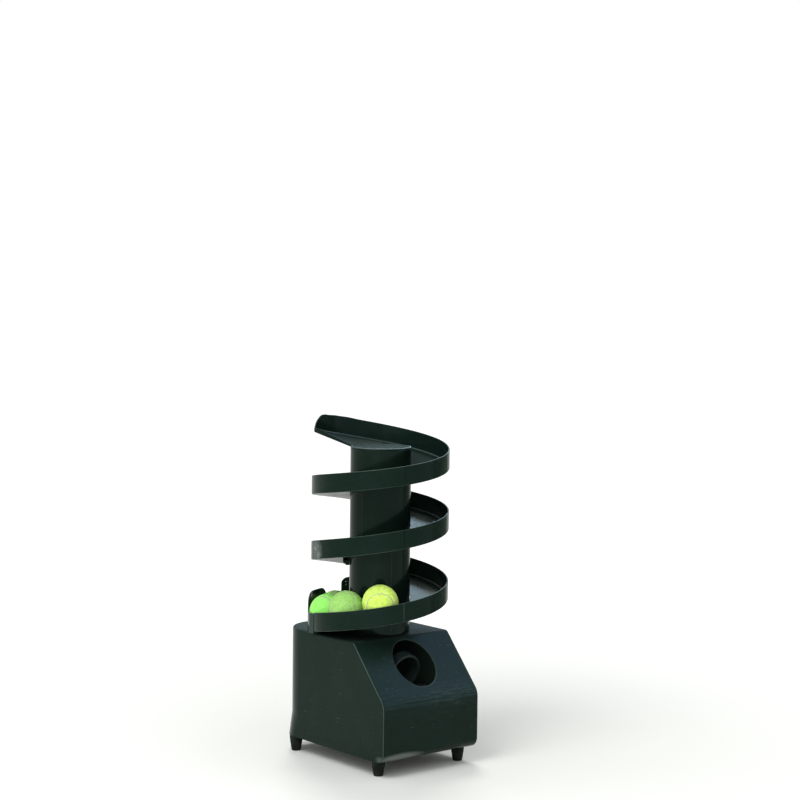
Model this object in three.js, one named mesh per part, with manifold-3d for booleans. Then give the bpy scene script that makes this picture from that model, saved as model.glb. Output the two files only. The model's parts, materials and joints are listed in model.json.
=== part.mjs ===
// Tennis ball machine: a battery machine with a sprung throwing arm, fed by a spiral ramp on a
// hollow column. Millimetres, +Z up, front towards -Y, origin on the ground under the middle of
// the whole machine. Every piece is one closed body in its own named mesh.
import * as THREE from "three";
import { mergeVertices } from "three/addons/utils/BufferGeometryUtils.js";
import Module from "manifold-3d";

const wasm = await Module();
wasm.setup();

// Clearances shared by all pieces
const gap = 0.3;              // between pieces that touch
const overrun = 2;            // how far a cutting tool passes the face that it cuts
const bond = 0.5;             // how far two forms of one piece run into each other
const degree = Math.PI / 180;

// Ball
const ball = {
  diameter: 68.4, sideSpare: 0.4, columns: 16, rows: 10, probes: 20,
  firstAngle: 63.5 * degree, spaces: [7.28, 0.29, -0.86, -1.1], outShares: [0, 1, 1, 0, 0],
};
ball.radius = ball.diameter / 2;

// Case: a profile seen from the side, closed by a plan outline with large rear corners
const housing = {
  width: 230, front: -156, rear: 170, top: 240, bottom: 29, wall: 3,
  slopeRun: 92, slopeFoot: 137,
  topRadius: 8, slopeRadius: 30, bottomRadius: 20, rearTopRadius: 4,
  panelMargin: 3, cornerDraft: 14, flareTop: 75, frontCorner: 2,
  edgeDrop: 4, edgeInset: 4, edgeShares: [[1, 0], [0.3, 0.29], [0, 1]],
  lip: 26, cornerSteps: 7,
};
housing.side = housing.width / 2;
housing.slopeTop = housing.front + housing.slopeRun;
housing.inside = housing.top - housing.wall;
housing.slopeAngle = Math.atan2(housing.top - housing.slopeFoot, housing.slopeRun);

// Rear panel: the case's rear corners start beside it
const panel = {
  half: 44, foot: 19, head: 18, screwInset: 7, tab: 16, tabDepth: 4, tabReach: 9, standoff: 3,
};
panel.bottom = housing.bottom + panel.foot;
panel.top = housing.top - panel.head;
housing.rearCornerTop = housing.side - panel.half - housing.panelMargin;
housing.rearCornerBottom = housing.rearCornerTop - housing.cornerDraft;

// Throw hole: a round cut whose axis points forwards and a little upwards
const throwHole = { ballSpare: 10.8, down: 60, rise: 14 * degree, reach: 70, sides: 40 };
throwHole.radius = ball.radius + throwHole.ballSpare;
throwHole.y = housing.slopeTop - throwHole.down * Math.cos(housing.slopeAngle);
throwHole.z = housing.top - throwHole.down * Math.sin(housing.slopeAngle);

// Column and spiral ramp. A station on the ramp is a share of a turn, counted downwards and
// clockwise seen from above. Heights are above the case's top.
const column = { y: 3, radius: 58, wall: 3, spigot: 10, height: 353.5, sides: 40, joints: [168, 285] };
column.bore = column.radius - column.wall;
column.top = housing.top + column.height;
const ramp = {
  wall: 2.5, floor: 3, height: 36, ballSpare: 1.7,
  zeroAngle: 141.25 * degree,
  topEdge: [422, 349.4, 296, 233.8, 171.2, 100.2, 34.1, -28],
  firstShare: -1, halfTurnShare: 0.5,
  startShare: -0.9675, fullWallShare: -0.924, growthShare: 0.55, startLip: 4, landingEndShare: -0.745,
  seamShare: -0.306, endShare: 1.9528, sections: 5, seamGapShare: 0.0008, stepShare: 1 / 48,
  lugShare: 1, lugReach: 12, lugWidth: 12, lugDrop: 9,
};
ramp.inner = column.radius + gap;
ramp.channel = column.radius + ramp.ballSpare + ball.diameter + ball.sideSpare;
ramp.radius = ramp.channel + ramp.wall;
ball.path = ramp.channel - ball.radius - ball.sideSpare;

// Inlet: the hole in the top where the ramp ends, with a guard round it
const inlet = { angle: ball.firstAngle, ballSpare: 3.8, sides: 32 };
inlet.radius = ball.radius + inlet.ballSpare;
inlet.x = ball.path * Math.cos(inlet.angle);
inlet.y = column.y + ball.path * Math.sin(inlet.angle);
const guard = {
  outside: 5.5, flange: 18.5, floor: 3, wall: 2.2, rise: 39, endRise: 60,
  start: 157.25 * degree, step: 1.5 * degree, first: -3 * degree, last: 123 * degree, edge: 0.15 * degree,
  tabs: [
    { from: 18 * degree, to: 56.4 * degree, rise: 69.5, firstCorner: 40, lastCorner: 10, drop: 24 },
    { from: 72.45 * degree, to: 123 * degree, rise: 84.5, firstCorner: 16, lastCorner: 16, drop: 11 },
  ],
};
guard.radius = ramp.radius + guard.outside;
guard.inner = guard.radius - guard.wall;
guard.path = guard.inner - ball.radius - ball.sideSpare;

// Each ball lies behind the one before it, at a distance set by their size
ball.radii = ball.outShares.map((outShare) => THREE.MathUtils.lerp(ball.path, guard.path, outShare));
ball.angles = [ball.firstAngle];
ball.spaces.forEach((space, i) => {
  const [one, two, apart] = [ball.radii[i], ball.radii[i + 1], ball.diameter + space];
  const turnOn = Math.acos((one ** 2 + two ** 2 - apart ** 2) / (2 * one * two));
  ball.angles.push(ball.angles[i] + turnOn);
});

// Feed gate and the chute below it
const gate = { thickness: 3, lap: 1, catch: 2 };
gate.half = inlet.radius + gate.lap;
gate.travel = 2 * gate.half - gate.catch;
const chute = {
  plate: 3, rail: 4, ballSpare: 2.3, wall: 2.5,
  footX: 2, footY: 72, footZ: 150, sides: 28, clearance: 4, pastShare: 0.05,
};
chute.bore = ball.radius + chute.ballSpare;
gate.top = housing.inside - gap - bond;
gate.bottom = gate.top - gate.thickness;
chute.plateTop = gate.bottom - gap;

// Base plate and feet
const plate = { thickness: 3, top: 32 };
plate.top = housing.bottom + plate.thickness;
const foot = {
  topRadius: 13, bottomRadius: 9, edge: 1.5, stub: 4, stubTop: 3, sides: 20,
  frontInset: 19, frontBack: 37, rearInset: 13, rearForward: 42,
};
foot.frontX = housing.side - foot.frontInset;
foot.rearX = housing.side - foot.rearInset;
foot.frontY = housing.front + foot.frontBack;
foot.rearY = housing.rear - foot.rearForward;

// Throwing arm on its shaft
const arm = {
  y: -40, z: 70, length: 110, lean: 15 * degree, throwBack: 95 * degree,
  hub: 12, hubWidth: 20, leverWidth: 14, leverDepth: 16, tail: 20, tailDepth: 12,
  ringUnderBall: 4.2, ringWall: 4, ringDepth: 20, ringSides: 32,
};
arm.ringBore = ball.radius - arm.ringUnderBall;
arm.sweep = arm.length + arm.ringBore + arm.ringWall;
const shaft = { radius: 4, reach: 53, sides: 16 };
const bracket = {
  inner: 46, thickness: 3, rear: 45, front: -62, rearTop: 62, shoulderY: 22, shoulderZ: 100,
  neckY: -45, neckZ: 106, heel: 92, headBehind: 17.75, headAhead: 8.25, headAbove: 19.4, headBelow: 8.6,
  flange: 14, pegRadius: 2, pegInset: 12,
};
const bush = { radius: 7, flange: 10, flangeDepth: 2, sides: 16 };
const spring = { outer: 9, inner: 5.2, sides: 16 };
const buffer = { underRing: 14, bar: 12, pad: 6, padWidth: 24, touch: 0.4 };
buffer.along = arm.length - arm.ringBore - arm.ringWall - buffer.underRing;

// Drive: motor pinion, cam gear and crank roller
const gear = {
  module: 1.5, teeth: 32, pinionTeeth: 10, y: -4, z: 68, x: 18, width: 8, addendum: 1, dedendum: 1.25,
  lineAngle: -35 * degree, play: 0.35, bore: 3, hub: 7, hubWidth: 6,
  toothShares: [0.19, 0.37, 0.63, 0.81],
};
gear.radius = gear.module * gear.teeth / 2;
gear.pinionRadius = gear.module * gear.pinionTeeth / 2;
gear.centres = gear.radius + gear.pinionRadius + gear.play;
gear.motorY = gear.y + gear.centres * Math.cos(gear.lineAngle);
gear.motorZ = gear.z + gear.centres * Math.sin(gear.lineAngle);
const roller = { crank: 16, radius: 4.5, pin: 2, length: 6.5, sides: 16 };
const motor = {
  box: 30, boxLength: 20, can: 12.5, endSpare: 8.7, shaft: 1.5, tip: 1, sides: 24, clearance: 0.7,
};
motor.from = bracket.inner + bracket.thickness + gap;
motor.canLength = housing.side - housing.wall - motor.endSpare - motor.boxLength - motor.from;
const camShaft = { reach: 52, clearance: 0.4 };

// Batteries in a tray at the front of the base
const cell = {
  radius: 17, nub: 4.5, nubHeight: 1.5, perRow: 3, rows: 2, sides: 20, space: 0.6,
};
const tray = { wall: 2, contact: 4, height: 26, rear: -69, windowMargin: 10, edge: 6, sideSpare: 13.6 };
tray.halfLength = housing.side - housing.wall - tray.sideSpare;
cell.length = (2 * (tray.halfLength - tray.wall - tray.contact)) / cell.perRow - cell.space;
tray.depth = cell.rows * (2 * cell.radius + cell.space) + cell.space + 2 * tray.wall;
tray.front = tray.rear - tray.depth;
tray.bottom = plate.top + gap;
const door = { inset: 22.4, margin: 8, thickness: 2.5, lap: 5, rail: 3, railLip: 5, travel: 70, grip: 4 };
door.half = tray.halfLength - door.inset;

// Screws, switch, socket and control board
const screw = { radius: 1.8, head: 4, headDepth: 2, length: 8, baseLength: 20, clearance: 0.3, sides: 12 };
const boss = { inset: 11, frontY: -50, rearY: 70, radius: 5, height: 28 };
boss.x = housing.side - boss.inset;
const rocker = {
  x: -22, down: 30, halfX: 6.5, halfZ: 10.5, bezel: 2, bezelDepth: 2, body: 18, wall: 1.2,
  tilt: 8 * degree, lift: 3, pivotInset: 2.2, depth: 8, clearance: 1,
};
rocker.z = panel.top - rocker.down;
const jack = { x: -22, down: 32, radius: 5.5, flange: 7.5, flangeDepth: 1.5, body: 14, bore: 3, pin: 1, sides: 20 };
jack.z = rocker.z - jack.down;
const board = {
  x: 0, up: 52, halfX: 30, halfZ: 34, thickness: 1.6, chip: 12, chipHeight: 4, relay: 16,
  relayHeight: 13, can: 5, canHeight: 11, offset: 8,
};
board.z = panel.bottom + board.up;

// Materials
const plastic = (color, roughness) => new THREE.MeshStandardMaterial({ color, roughness, metalness: 0 });
const metal = (color, roughness) => new THREE.MeshStandardMaterial({ color, roughness, metalness: 1 });
const blackPlastic = plastic(0x10181a, 0.3);
const innerPlastic = plastic(0x1a1d1e, 0.5);
const whitePlastic = plastic(0xd8d6cc, 0.45);
const rubber = plastic(0x141414, 0.85);
const steel = metal(0xa9abad, 0.35);
const brass = metal(0xb59a5c, 0.35);
const cellJacket = plastic(0x3a4550, 0.35);
const boardGreen = plastic(0x1f5a38, 0.5);
const feltYellow = plastic(0xcfe65a, 0.95);
const feltGreen = plastic(0x7be04a, 0.95);
const feltDull = plastic(0x6fae4e, 0.95);

// Solids: three.js geometry in and out of the boolean library
function outward(geometry) {
  const flat = geometry.index ? geometry.toNonIndexed() : geometry.clone();
  const place = flat.getAttribute("position");
  const [a, b, c] = [new THREE.Vector3(), new THREE.Vector3(), new THREE.Vector3()];
  let volume = 0;
  for (let i = 0; i < place.count; i += 3) {
    a.fromBufferAttribute(place, i);
    b.fromBufferAttribute(place, i + 1);
    c.fromBufferAttribute(place, i + 2);
    volume += a.dot(b.cross(c));
  }
  const merged = geometry.clone();
  merged.deleteAttribute("normal");
  merged.deleteAttribute("uv");
  const welded = mergeVertices(merged);
  if (volume < 0) {
    const turned = Array.from(welded.index.array);
    for (let i = 0; i < turned.length; i += 3) {
      [turned[i + 1], turned[i + 2]] = [turned[i + 2], turned[i + 1]];
    }
    welded.setIndex(turned);
  }
  return welded;
}

function solid(geometry) {
  const welded = outward(geometry);
  return new wasm.Manifold(new wasm.Mesh({
    numProp: 3,
    vertProperties: new Float32Array(welded.getAttribute("position").array),
    triVerts: new Uint32Array(welded.index.array),
  }));
}

function shaped(body) {
  const mesh = body.getMesh();
  const geometry = new THREE.BufferGeometry();
  geometry.setAttribute("position", new THREE.BufferAttribute(new Float32Array(mesh.vertProperties), 3));
  geometry.setIndex(new THREE.BufferAttribute(new Uint32Array(mesh.triVerts), 1));
  geometry.computeVertexNormals();
  return geometry;
}

const join = (...bodies) => bodies.reduce((all, next) => all.add(next));
const cut = (body, ...tools) => tools.reduce((rest, tool) => rest.subtract(tool), body);

// Outlines: corners are [across, up, radius]; a radius turns into an arc of points
function outline(corners, steps = housing.cornerSteps) {
  const points = [];
  corners.forEach(([x, y, radius = 0], i) => {
    const corner = new THREE.Vector2(x, y);
    if (radius === 0) {
      points.push(corner);
      return;
    }
    const before = corners[(i + corners.length - 1) % corners.length];
    const after = corners[(i + 1) % corners.length];
    const back = new THREE.Vector2(before[0], before[1]).sub(corner).normalize();
    const ahead = new THREE.Vector2(after[0], after[1]).sub(corner).normalize();
    const half = Math.acos(back.dot(ahead)) / 2;
    const middle = back.clone().add(ahead).normalize();
    const centre = corner.clone().addScaledVector(middle, radius / Math.sin(half));
    const from = corner.clone().addScaledVector(back, radius / Math.tan(half)).sub(centre);
    const to = corner.clone().addScaledVector(ahead, radius / Math.tan(half)).sub(centre);
    const turn = Math.atan2(from.cross(to), from.dot(to));
    for (let k = 0; k <= steps; k += 1) {
      points.push(from.clone().rotateAround(new THREE.Vector2(), (turn * k) / steps).add(centre));
    }
  });
  return points;
}

function inset(corners, distance) {
  const count = corners.length;
  const edges = corners.map(([x, y], i) => {
    const [nextX, nextY] = corners[(i + 1) % count];
    const along = new THREE.Vector2(nextX - x, nextY - y).normalize();
    return { x: x - along.y * distance, y: y + along.x * distance, along };
  });
  return corners.map(([, , radius = 0], i) => {
    const one = edges[(i + count - 1) % count];
    const two = edges[i];
    const cross = one.along.cross(two.along);
    const t = ((two.x - one.x) * two.along.y - (two.y - one.y) * two.along.x) / cross;
    return [one.x + one.along.x * t, one.y + one.along.y * t, Math.max(radius - distance, 0)];
  });
}

const circle = (radius, sides, x = 0, y = 0) => Array.from({ length: sides }, (_, i) => new THREE.Vector2(
  x + radius * Math.cos((2 * Math.PI * i) / sides),
  y + radius * Math.sin((2 * Math.PI * i) / sides),
));

function extrude(points, depth, holes = []) {
  const shape = new THREE.Shape(points);
  holes.forEach((hole) => shape.holes.push(new THREE.Path(hole)));
  return new THREE.ExtrudeGeometry(shape, { depth, bevelEnabled: false, steps: 1 });
}

const towardsX = new THREE.Matrix4().makeBasis(
  new THREE.Vector3(0, 1, 0), new THREE.Vector3(0, 0, 1), new THREE.Vector3(1, 0, 0),
);
const towardsY = new THREE.Matrix4().makeBasis(
  new THREE.Vector3(0, 0, 1), new THREE.Vector3(1, 0, 0), new THREE.Vector3(0, 1, 0),
);

// A slab drawn in (y, z) and run along X, one drawn in (x, y) and run up, one in (z, x) along Y
const slabX = (points, from, to, holes) => extrude(points, to - from, holes).applyMatrix4(towardsX)
  .translate(from, 0, 0);
const slabZ = (points, from, to, holes) => extrude(points, to - from, holes).translate(0, 0, from);
const slabY = (points, from, to, holes) => extrude(points, to - from, holes).applyMatrix4(towardsY)
  .translate(0, from, 0);

function block(x0, x1, y0, y1, z0, z1) {
  return new THREE.BoxGeometry(x1 - x0, y1 - y0, z1 - z0)
    .translate((x0 + x1) / 2, (y0 + y1) / 2, (z0 + z1) / 2);
}

// A turned piece about Z: the profile's points are [radius, height]
function turned(profile, sides) {
  const points = profile.map(([radius, height]) => new THREE.Vector2(radius, height));
  if (profile[0][0] > 0) {
    points.push(points[0].clone());
  }
  return new THREE.LatheGeometry(points, sides).rotateX(Math.PI / 2);
}

// A skin through rings of equal length, closed by the flat faces of its two ends
function loft(rings, face) {
  const size = rings[0].length;
  const place = rings.flat().flatMap((point) => [point.x, point.y, point.z]);
  const index = [];
  for (let r = 0; r < rings.length - 1; r += 1) {
    for (let i = 0; i < size; i += 1) {
      const j = (i + 1) % size;
      const [a, b, c, d] = [r * size + i, r * size + j, (r + 1) * size + j, (r + 1) * size + i];
      index.push(a, b, c, a, c, d);
    }
  }
  const last = (rings.length - 1) * size;
  THREE.ShapeUtils.triangulateShape(face, []).forEach(([a, b, c]) => {
    index.push(c, b, a, last + a, last + b, last + c);
  });
  const geometry = new THREE.BufferGeometry();
  geometry.setAttribute("position", new THREE.Float32BufferAttribute(place, 3));
  geometry.setIndex(index);
  return geometry;
}

// The ramp's heights: a smooth curve through the wall's top edge at each half turn
function wallTop(station) {
  const place = (station - ramp.firstShare) / ramp.halfTurnShare;
  const i = THREE.MathUtils.clamp(Math.floor(place), 0, ramp.topEdge.length - 2);
  const at = (k) => housing.top + ramp.topEdge[THREE.MathUtils.clamp(k, 0, ramp.topEdge.length - 1)];
  const u = place - i;
  const before = i > 0 ? at(i - 1) : 2 * at(0) - at(1);
  const slopeIn = (at(i + 1) - before) / 2;
  const slopeOut = (at(i + 2) - at(i)) / 2;
  return (2 * u ** 3 - 3 * u ** 2 + 1) * at(i) + (u ** 3 - 2 * u ** 2 + u) * slopeIn
    + (3 * u ** 2 - 2 * u ** 3) * at(i + 1) + (u ** 3 - u ** 2) * slopeOut;
}
const underside = (station) => wallTop(station) - ramp.height;
const floorTop = (station) => underside(station) + ramp.floor;
const stationAngle = (station) => ramp.zeroAngle - 2 * Math.PI * station;

const polar = (radius, angle, z) => new THREE.Vector3(
  radius * Math.cos(angle), column.y + radius * Math.sin(angle), z,
);

function stations(from, to) {
  const count = Math.max(1, Math.round((to - from) / ramp.stepShare));
  return Array.from({ length: count + 1 }, (_, i) => from + ((to - from) * i) / count);
}

// One length of channel: a floor and its outer wall, from station to station
function channel(from, to, profile) {
  const rings = stations(from, to).map((station) => profile(station)
    .map(([radius, z]) => polar(radius, stationAngle(station), z)));
  const face = profile((from + to) / 2).map(([radius, z]) => new THREE.Vector2(radius, z));
  return solid(loft(rings, face));
}

const plainProfile = (station) => [
  [ramp.inner, underside(station)], [ramp.radius, underside(station)], [ramp.radius, wallTop(station)],
  [ramp.channel, wallTop(station)], [ramp.channel, floorTop(station)], [ramp.inner, floorTop(station)],
];

// At the top the wall grows from the floor's edge, and the floor leans in to the level of the cap
const startRise = (station) => THREE.MathUtils.clamp(
  (station - ramp.startShare) / (ramp.fullWallShare - ramp.startShare), 0, 1,
);
const capInner = column.radius - column.wall - overrun;
function landingProfile(station) {
  const rise = startRise(station);
  const low = underside(station) - ramp.startLip * (1 - rise);
  const cap = column.top - ramp.floor;
  const floor = floorTop(station);
  const top = Math.max(floor + bond, underside(station) + ramp.height * rise ** ramp.growthShare);
  return [
    [capInner, cap], [column.radius, cap], [ramp.radius, low], [ramp.radius, top], [ramp.channel, top],
    [ramp.channel, floor], [column.radius, column.top], [capInner, column.top],
  ];
}

const part = new THREE.Group();
function add(name, geometry, material) {
  const mesh = new THREE.Mesh(geometry, material);
  mesh.name = name;
  part.add(mesh);
  return mesh;
}

// Case shell
function planCorners(cornerRadius, distance) {
  return inset([
    [-housing.side, housing.front, housing.frontCorner], [housing.side, housing.front, housing.frontCorner],
    [housing.side, housing.rear, cornerRadius], [-housing.side, housing.rear, cornerRadius],
  ], distance);
}
const planPoints = (cornerRadius, distance) => outline(
  planCorners(cornerRadius, distance).map(([x, y, radius]) => [x, y, Math.max(radius, bond)]),
);
function planTower(distance, bottom) {
  const levels = [
    [bottom, housing.rearCornerBottom, 0],
    [housing.bottom, housing.rearCornerBottom, 0],
    [housing.flareTop, housing.rearCornerTop, 0],
    ...housing.edgeShares.map(([down, into]) => [
      housing.top - distance - down * housing.edgeDrop, housing.rearCornerTop, into * housing.edgeInset,
    ]),
  ];
  const rings = levels.map(([z, corner, extra]) => planPoints(corner, distance + extra)
    .map((point) => new THREE.Vector3(point.x, point.y, z)));
  return solid(loft(rings, planPoints(housing.rearCornerTop, distance)));
}
const sideCorners = [
  [housing.front, housing.bottom, housing.bottomRadius], [housing.rear, housing.bottom],
  [housing.rear, housing.top, housing.rearTopRadius], [housing.slopeTop, housing.top, housing.topRadius],
  [housing.front, housing.slopeFoot, housing.slopeRadius],
];
const lipEdge = housing.front + housing.lip;

function shellBlank() {
  const reach = housing.side + overrun;
  const outer = planTower(0, housing.bottom - overrun).intersect(solid(slabX(outline(sideCorners), -reach, reach)));
  const inner = planTower(housing.wall, housing.bottom - overrun)
    .intersect(solid(slabX(outline(inset(sideCorners, housing.wall)), -reach, reach)));
  const mouth = plateOutline(0);
  const opening = solid(slabZ(mouth, housing.bottom - overrun, plate.top + bond));
  return cut(outer, inner, opening);
}

function plateOutline(distance) {
  const [, , rearRight, rearLeft] = planCorners(housing.rearCornerBottom, housing.wall + distance);
  return outline([
    [rearLeft[0], lipEdge + distance], [rearRight[0], lipEdge + distance], rearRight, rearLeft,
  ]);
}

const bossPlaces = [-1, 1].flatMap((side) => [boss.frontY, boss.rearY].map((y) => [side, y]));
function shellBoss([side, y]) {
  const x = side * boss.x;
  const bottom = plate.top + gap;
  const pillar = solid(slabZ(circle(boss.radius, screw.sides, x, y), bottom, bottom + boss.height));
  const wall = side * (housing.side - housing.wall + bond);
  const rib = solid(block(
    Math.min(x, wall), Math.max(x, wall), y - boss.radius / 2, y + boss.radius / 2, bottom, bottom + boss.height,
  ));
  return join(pillar, rib);
}
const bossBore = ([side, y]) => solid(slabZ(
  circle(screw.radius + screw.clearance, screw.sides, side * boss.x, y),
  housing.bottom - overrun, housing.bottom + screw.baseLength + gap,
));

const panelScrews = [-1, 1].flatMap((side) => [
  [side * (panel.half - panel.screwInset), panel.bottom + panel.screwInset],
  [side * (panel.half - panel.screwInset), panel.top - panel.screwInset],
]);
const innerRear = housing.rear - housing.wall;
function panelTab([x, z]) {
  const side = Math.sign(x);
  const halfTab = panel.tab / 2;
  const inside = side * (panel.half - panel.tab + bond);
  const outside = side * (panel.half + panel.tabReach);
  const edge = side * (panel.half + gap);
  const flat = solid(block(
    Math.min(inside, outside), Math.max(inside, outside),
    innerRear - gap - panel.tabDepth, innerRear - gap, z - halfTab, z + halfTab,
  ));
  const root = solid(block(
    Math.min(edge, outside), Math.max(edge, outside),
    innerRear - gap - panel.tabDepth, innerRear + bond, z - halfTab, z + halfTab,
  ));
  return join(flat, root);
}
const panelBore = ([x, z]) => solid(slabY(
  circle(screw.radius + screw.clearance, screw.sides, z, x),
  innerRear - gap - panel.tabDepth - overrun, housing.rear + overrun,
));

function boreAlongThrow() {
  const bore = extrude(circle(throwHole.radius, throwHole.sides), throwHole.reach)
    .translate(0, 0, -throwHole.reach / 2)
    .rotateX(Math.PI / 2 - throwHole.rise)
    .translate(0, throwHole.y, throwHole.z);
  return solid(bore);
}
const inletBore = (from, to) => solid(slabZ(
  circle(inlet.radius, inlet.sides, inlet.x, inlet.y), from, to,
));

function housingShell() {
  const rearCut = solid(block(
    -panel.half - gap, panel.half + gap, innerRear - overrun, housing.rear + overrun,
    panel.bottom - gap, panel.top + gap,
  ));
  const spigot = solid(turned([
    [column.bore - gap - column.wall, housing.top - bond], [column.bore - gap, housing.top - bond],
    [column.bore - gap, housing.top + column.spigot], [column.bore - gap - column.wall, housing.top + column.spigot],
  ], column.sides).translate(0, column.y, 0));
  const whole = join(
    cut(shellBlank(), rearCut), spigot, ...bossPlaces.map(shellBoss), ...panelScrews.map(panelTab),
  );
  return cut(
    whole, boreAlongThrow(), inletBore(housing.inside - overrun, housing.top + overrun),
    ...bossPlaces.map(bossBore), ...panelScrews.map(panelBore),
  );
}
add("housing_shell", shaped(housingShell()), blackPlastic);

// Rear panel
function rearPanel() {
  const sheet = solid(block(-panel.half, panel.half, innerRear, housing.rear, panel.bottom, panel.top));
  const sinks = panelScrews.map(([x, z]) => solid(slabY(
    circle(screw.head + screw.clearance, screw.sides, z, x), housing.rear - screw.headDepth, housing.rear + overrun,
  )));
  const switchHole = solid(block(
    rocker.x - rocker.halfX - rocker.wall - gap, rocker.x + rocker.halfX + rocker.wall + gap,
    innerRear - overrun, housing.rear + overrun,
    rocker.z - rocker.halfZ - rocker.wall - gap, rocker.z + rocker.halfZ + rocker.wall + gap,
  ));
  const jackHole = solid(slabY(
    circle(jack.radius + gap, jack.sides, jack.z, jack.x), innerRear - overrun, housing.rear + overrun,
  ));
  const pins = [-1, 1].flatMap((sx) => [-1, 1].map((sz) => solid(slabY(
    circle(panel.standoff, screw.sides, board.z + sz * (board.halfZ - panel.standoff), board.x + sx * (board.halfX - panel.standoff)),
    innerRear - board.offset, innerRear + bond,
  ))));
  return cut(join(sheet, ...pins), ...sinks, ...panelScrews.map(panelBore), switchHole, jackHole);
}
add("rear_panel", shaped(rearPanel()), blackPlastic);

// Screws: a sunk head and a shank; the same turned shape, laid along its own direction
function screwShape(length) {
  return turned([
    [0, 0], [screw.head, 0], [screw.head, screw.headDepth - gap],
    [screw.radius, screw.headDepth - gap], [screw.radius, length], [0, length],
  ], screw.sides);
}
panelScrews.forEach(([x, z], i) => {
  add(`panel_screw_${i + 1}`, outward(screwShape(screw.length).rotateX(Math.PI / 2).translate(x, housing.rear, z)), steel);
});
bossPlaces.forEach(([side, y], i) => {
  add(`base_screw_${i + 1}`, outward(screwShape(screw.baseLength).translate(side * boss.x, y, housing.bottom)), steel);
});

// Base plate with the battery window, door rails and foot holes
const footPlaces = {
  front_left: [-foot.frontX, foot.frontY], front_right: [foot.frontX, foot.frontY],
  rear_left: [-foot.rearX, foot.rearY], rear_right: [foot.rearX, foot.rearY],
};
door.front = lipEdge + gap + door.margin;
door.rear = tray.rear - tray.windowMargin + door.lap;
door.top = housing.bottom - gap;
door.bottom = door.top - door.thickness;
const bracketPegs = [-1, 1].flatMap((side) => [bracket.front, bracket.rear].map((y, i) => [
  side * (bracket.inner + bracket.thickness + bracket.flange / 2),
  y + (i === 0 ? bracket.pegInset : -bracket.pegInset),
]));

function basePlate() {
  const sheet = solid(slabZ(plateOutline(gap), housing.bottom, plate.top));
  const window = solid(block(
    -door.half + door.lap, door.half - door.lap, door.front + door.lap, door.rear - door.lap,
    housing.bottom - overrun, plate.top + overrun,
  ));
  const footBores = Object.values(footPlaces).map(([x, y]) => solid(slabZ(
    circle(foot.stub + gap, foot.sides, x, y), housing.bottom - overrun, plate.top + overrun,
  )));
  const screwBores = bossPlaces.map(bossBore);
  const sinks = bossPlaces.map(([side, y]) => solid(slabZ(
    circle(screw.head + screw.clearance, screw.sides, side * boss.x, y),
    housing.bottom - overrun, housing.bottom + screw.headDepth,
  )));
  const pegBores = bracketPegs.map(([x, y]) => solid(slabZ(
    circle(bracket.pegRadius + gap, screw.sides, x, y), housing.bottom - overrun, plate.top + overrun,
  )));
  const railEnd = door.rear + door.travel;
  const rails = [-1, 1].flatMap((side) => {
    const inner = side * (door.half + gap);
    const outer = side * (door.half + gap + door.rail);
    const lip = side * (door.half + gap - door.railLip);
    const [x0, x1] = [Math.min(inner, outer), Math.max(inner, outer)];
    const [l0, l1] = [Math.min(lip, outer), Math.max(lip, outer)];
    const low = door.bottom - gap;
    return [
      solid(block(x0, x1, door.front, railEnd, low - door.thickness, housing.bottom + bond)),
      solid(block(l0, l1, door.front, railEnd, low - door.thickness, low)),
    ];
  });
  return cut(join(sheet, ...rails), window, ...footBores, ...screwBores, ...sinks, ...pegBores);
}
add("base_plate", shaped(basePlate()), innerPlastic);

function batteryDoor() {
  const sheet = solid(block(-door.half, door.half, door.front, door.rear, door.bottom, door.top));
  const ribs = [-1, 0, 1].map((k) => {
    const y = door.rear - door.margin + k * door.grip;
    const half = door.grip / 4;
    return solid(block(
      -door.half / 4, door.half / 4, y - half, y + half, door.bottom - door.thickness / 2, door.bottom + bond,
    ));
  });
  return join(sheet, ...ribs);
}
add("battery_door", shaped(batteryDoor()), blackPlastic);

// Feet: tapered rubber pegs with a stub through the plate
function footShape() {
  const top = housing.bottom - gap;
  return turned([
    [0, 0], [foot.bottomRadius - foot.edge, 0], [foot.bottomRadius, foot.edge], [foot.topRadius, top],
    [foot.stub, top], [foot.stub, top + foot.stubTop], [0, top + foot.stubTop],
  ], foot.sides);
}
Object.entries(footPlaces).forEach(([name, [x, y]]) => {
  add(`foot_${name}`, outward(footShape().translate(x, y, 0)), rubber);
});

// Column: three tubes, each with a spigot that drops into the one below
function columnTube(bottom, top) {
  const rim = bottom + gap;
  const profile = bottom === housing.top
    ? [[column.bore, rim], [column.radius, rim], [column.radius, top], [column.bore, top]]
    : [
      [column.bore - gap - column.wall, rim - column.spigot], [column.bore - gap, rim - column.spigot],
      [column.bore - gap, rim], [column.radius, rim], [column.radius, top], [column.bore, top],
      [column.bore, rim + 2 * column.wall], [column.bore - gap - column.wall, rim + column.wall],
    ];
  return outward(turned(profile, column.sides).translate(0, column.y, 0));
}
const columnTop = column.top - ramp.floor - gap;
const columnLevels = [housing.top, ...column.joints.map((rise) => housing.top + rise), columnTop];
["lower", "middle", "upper"].forEach((name, i) => {
  add(`column_${name}`, columnTube(columnLevels[i], columnLevels[i + 1]), blackPlastic);
});

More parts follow.
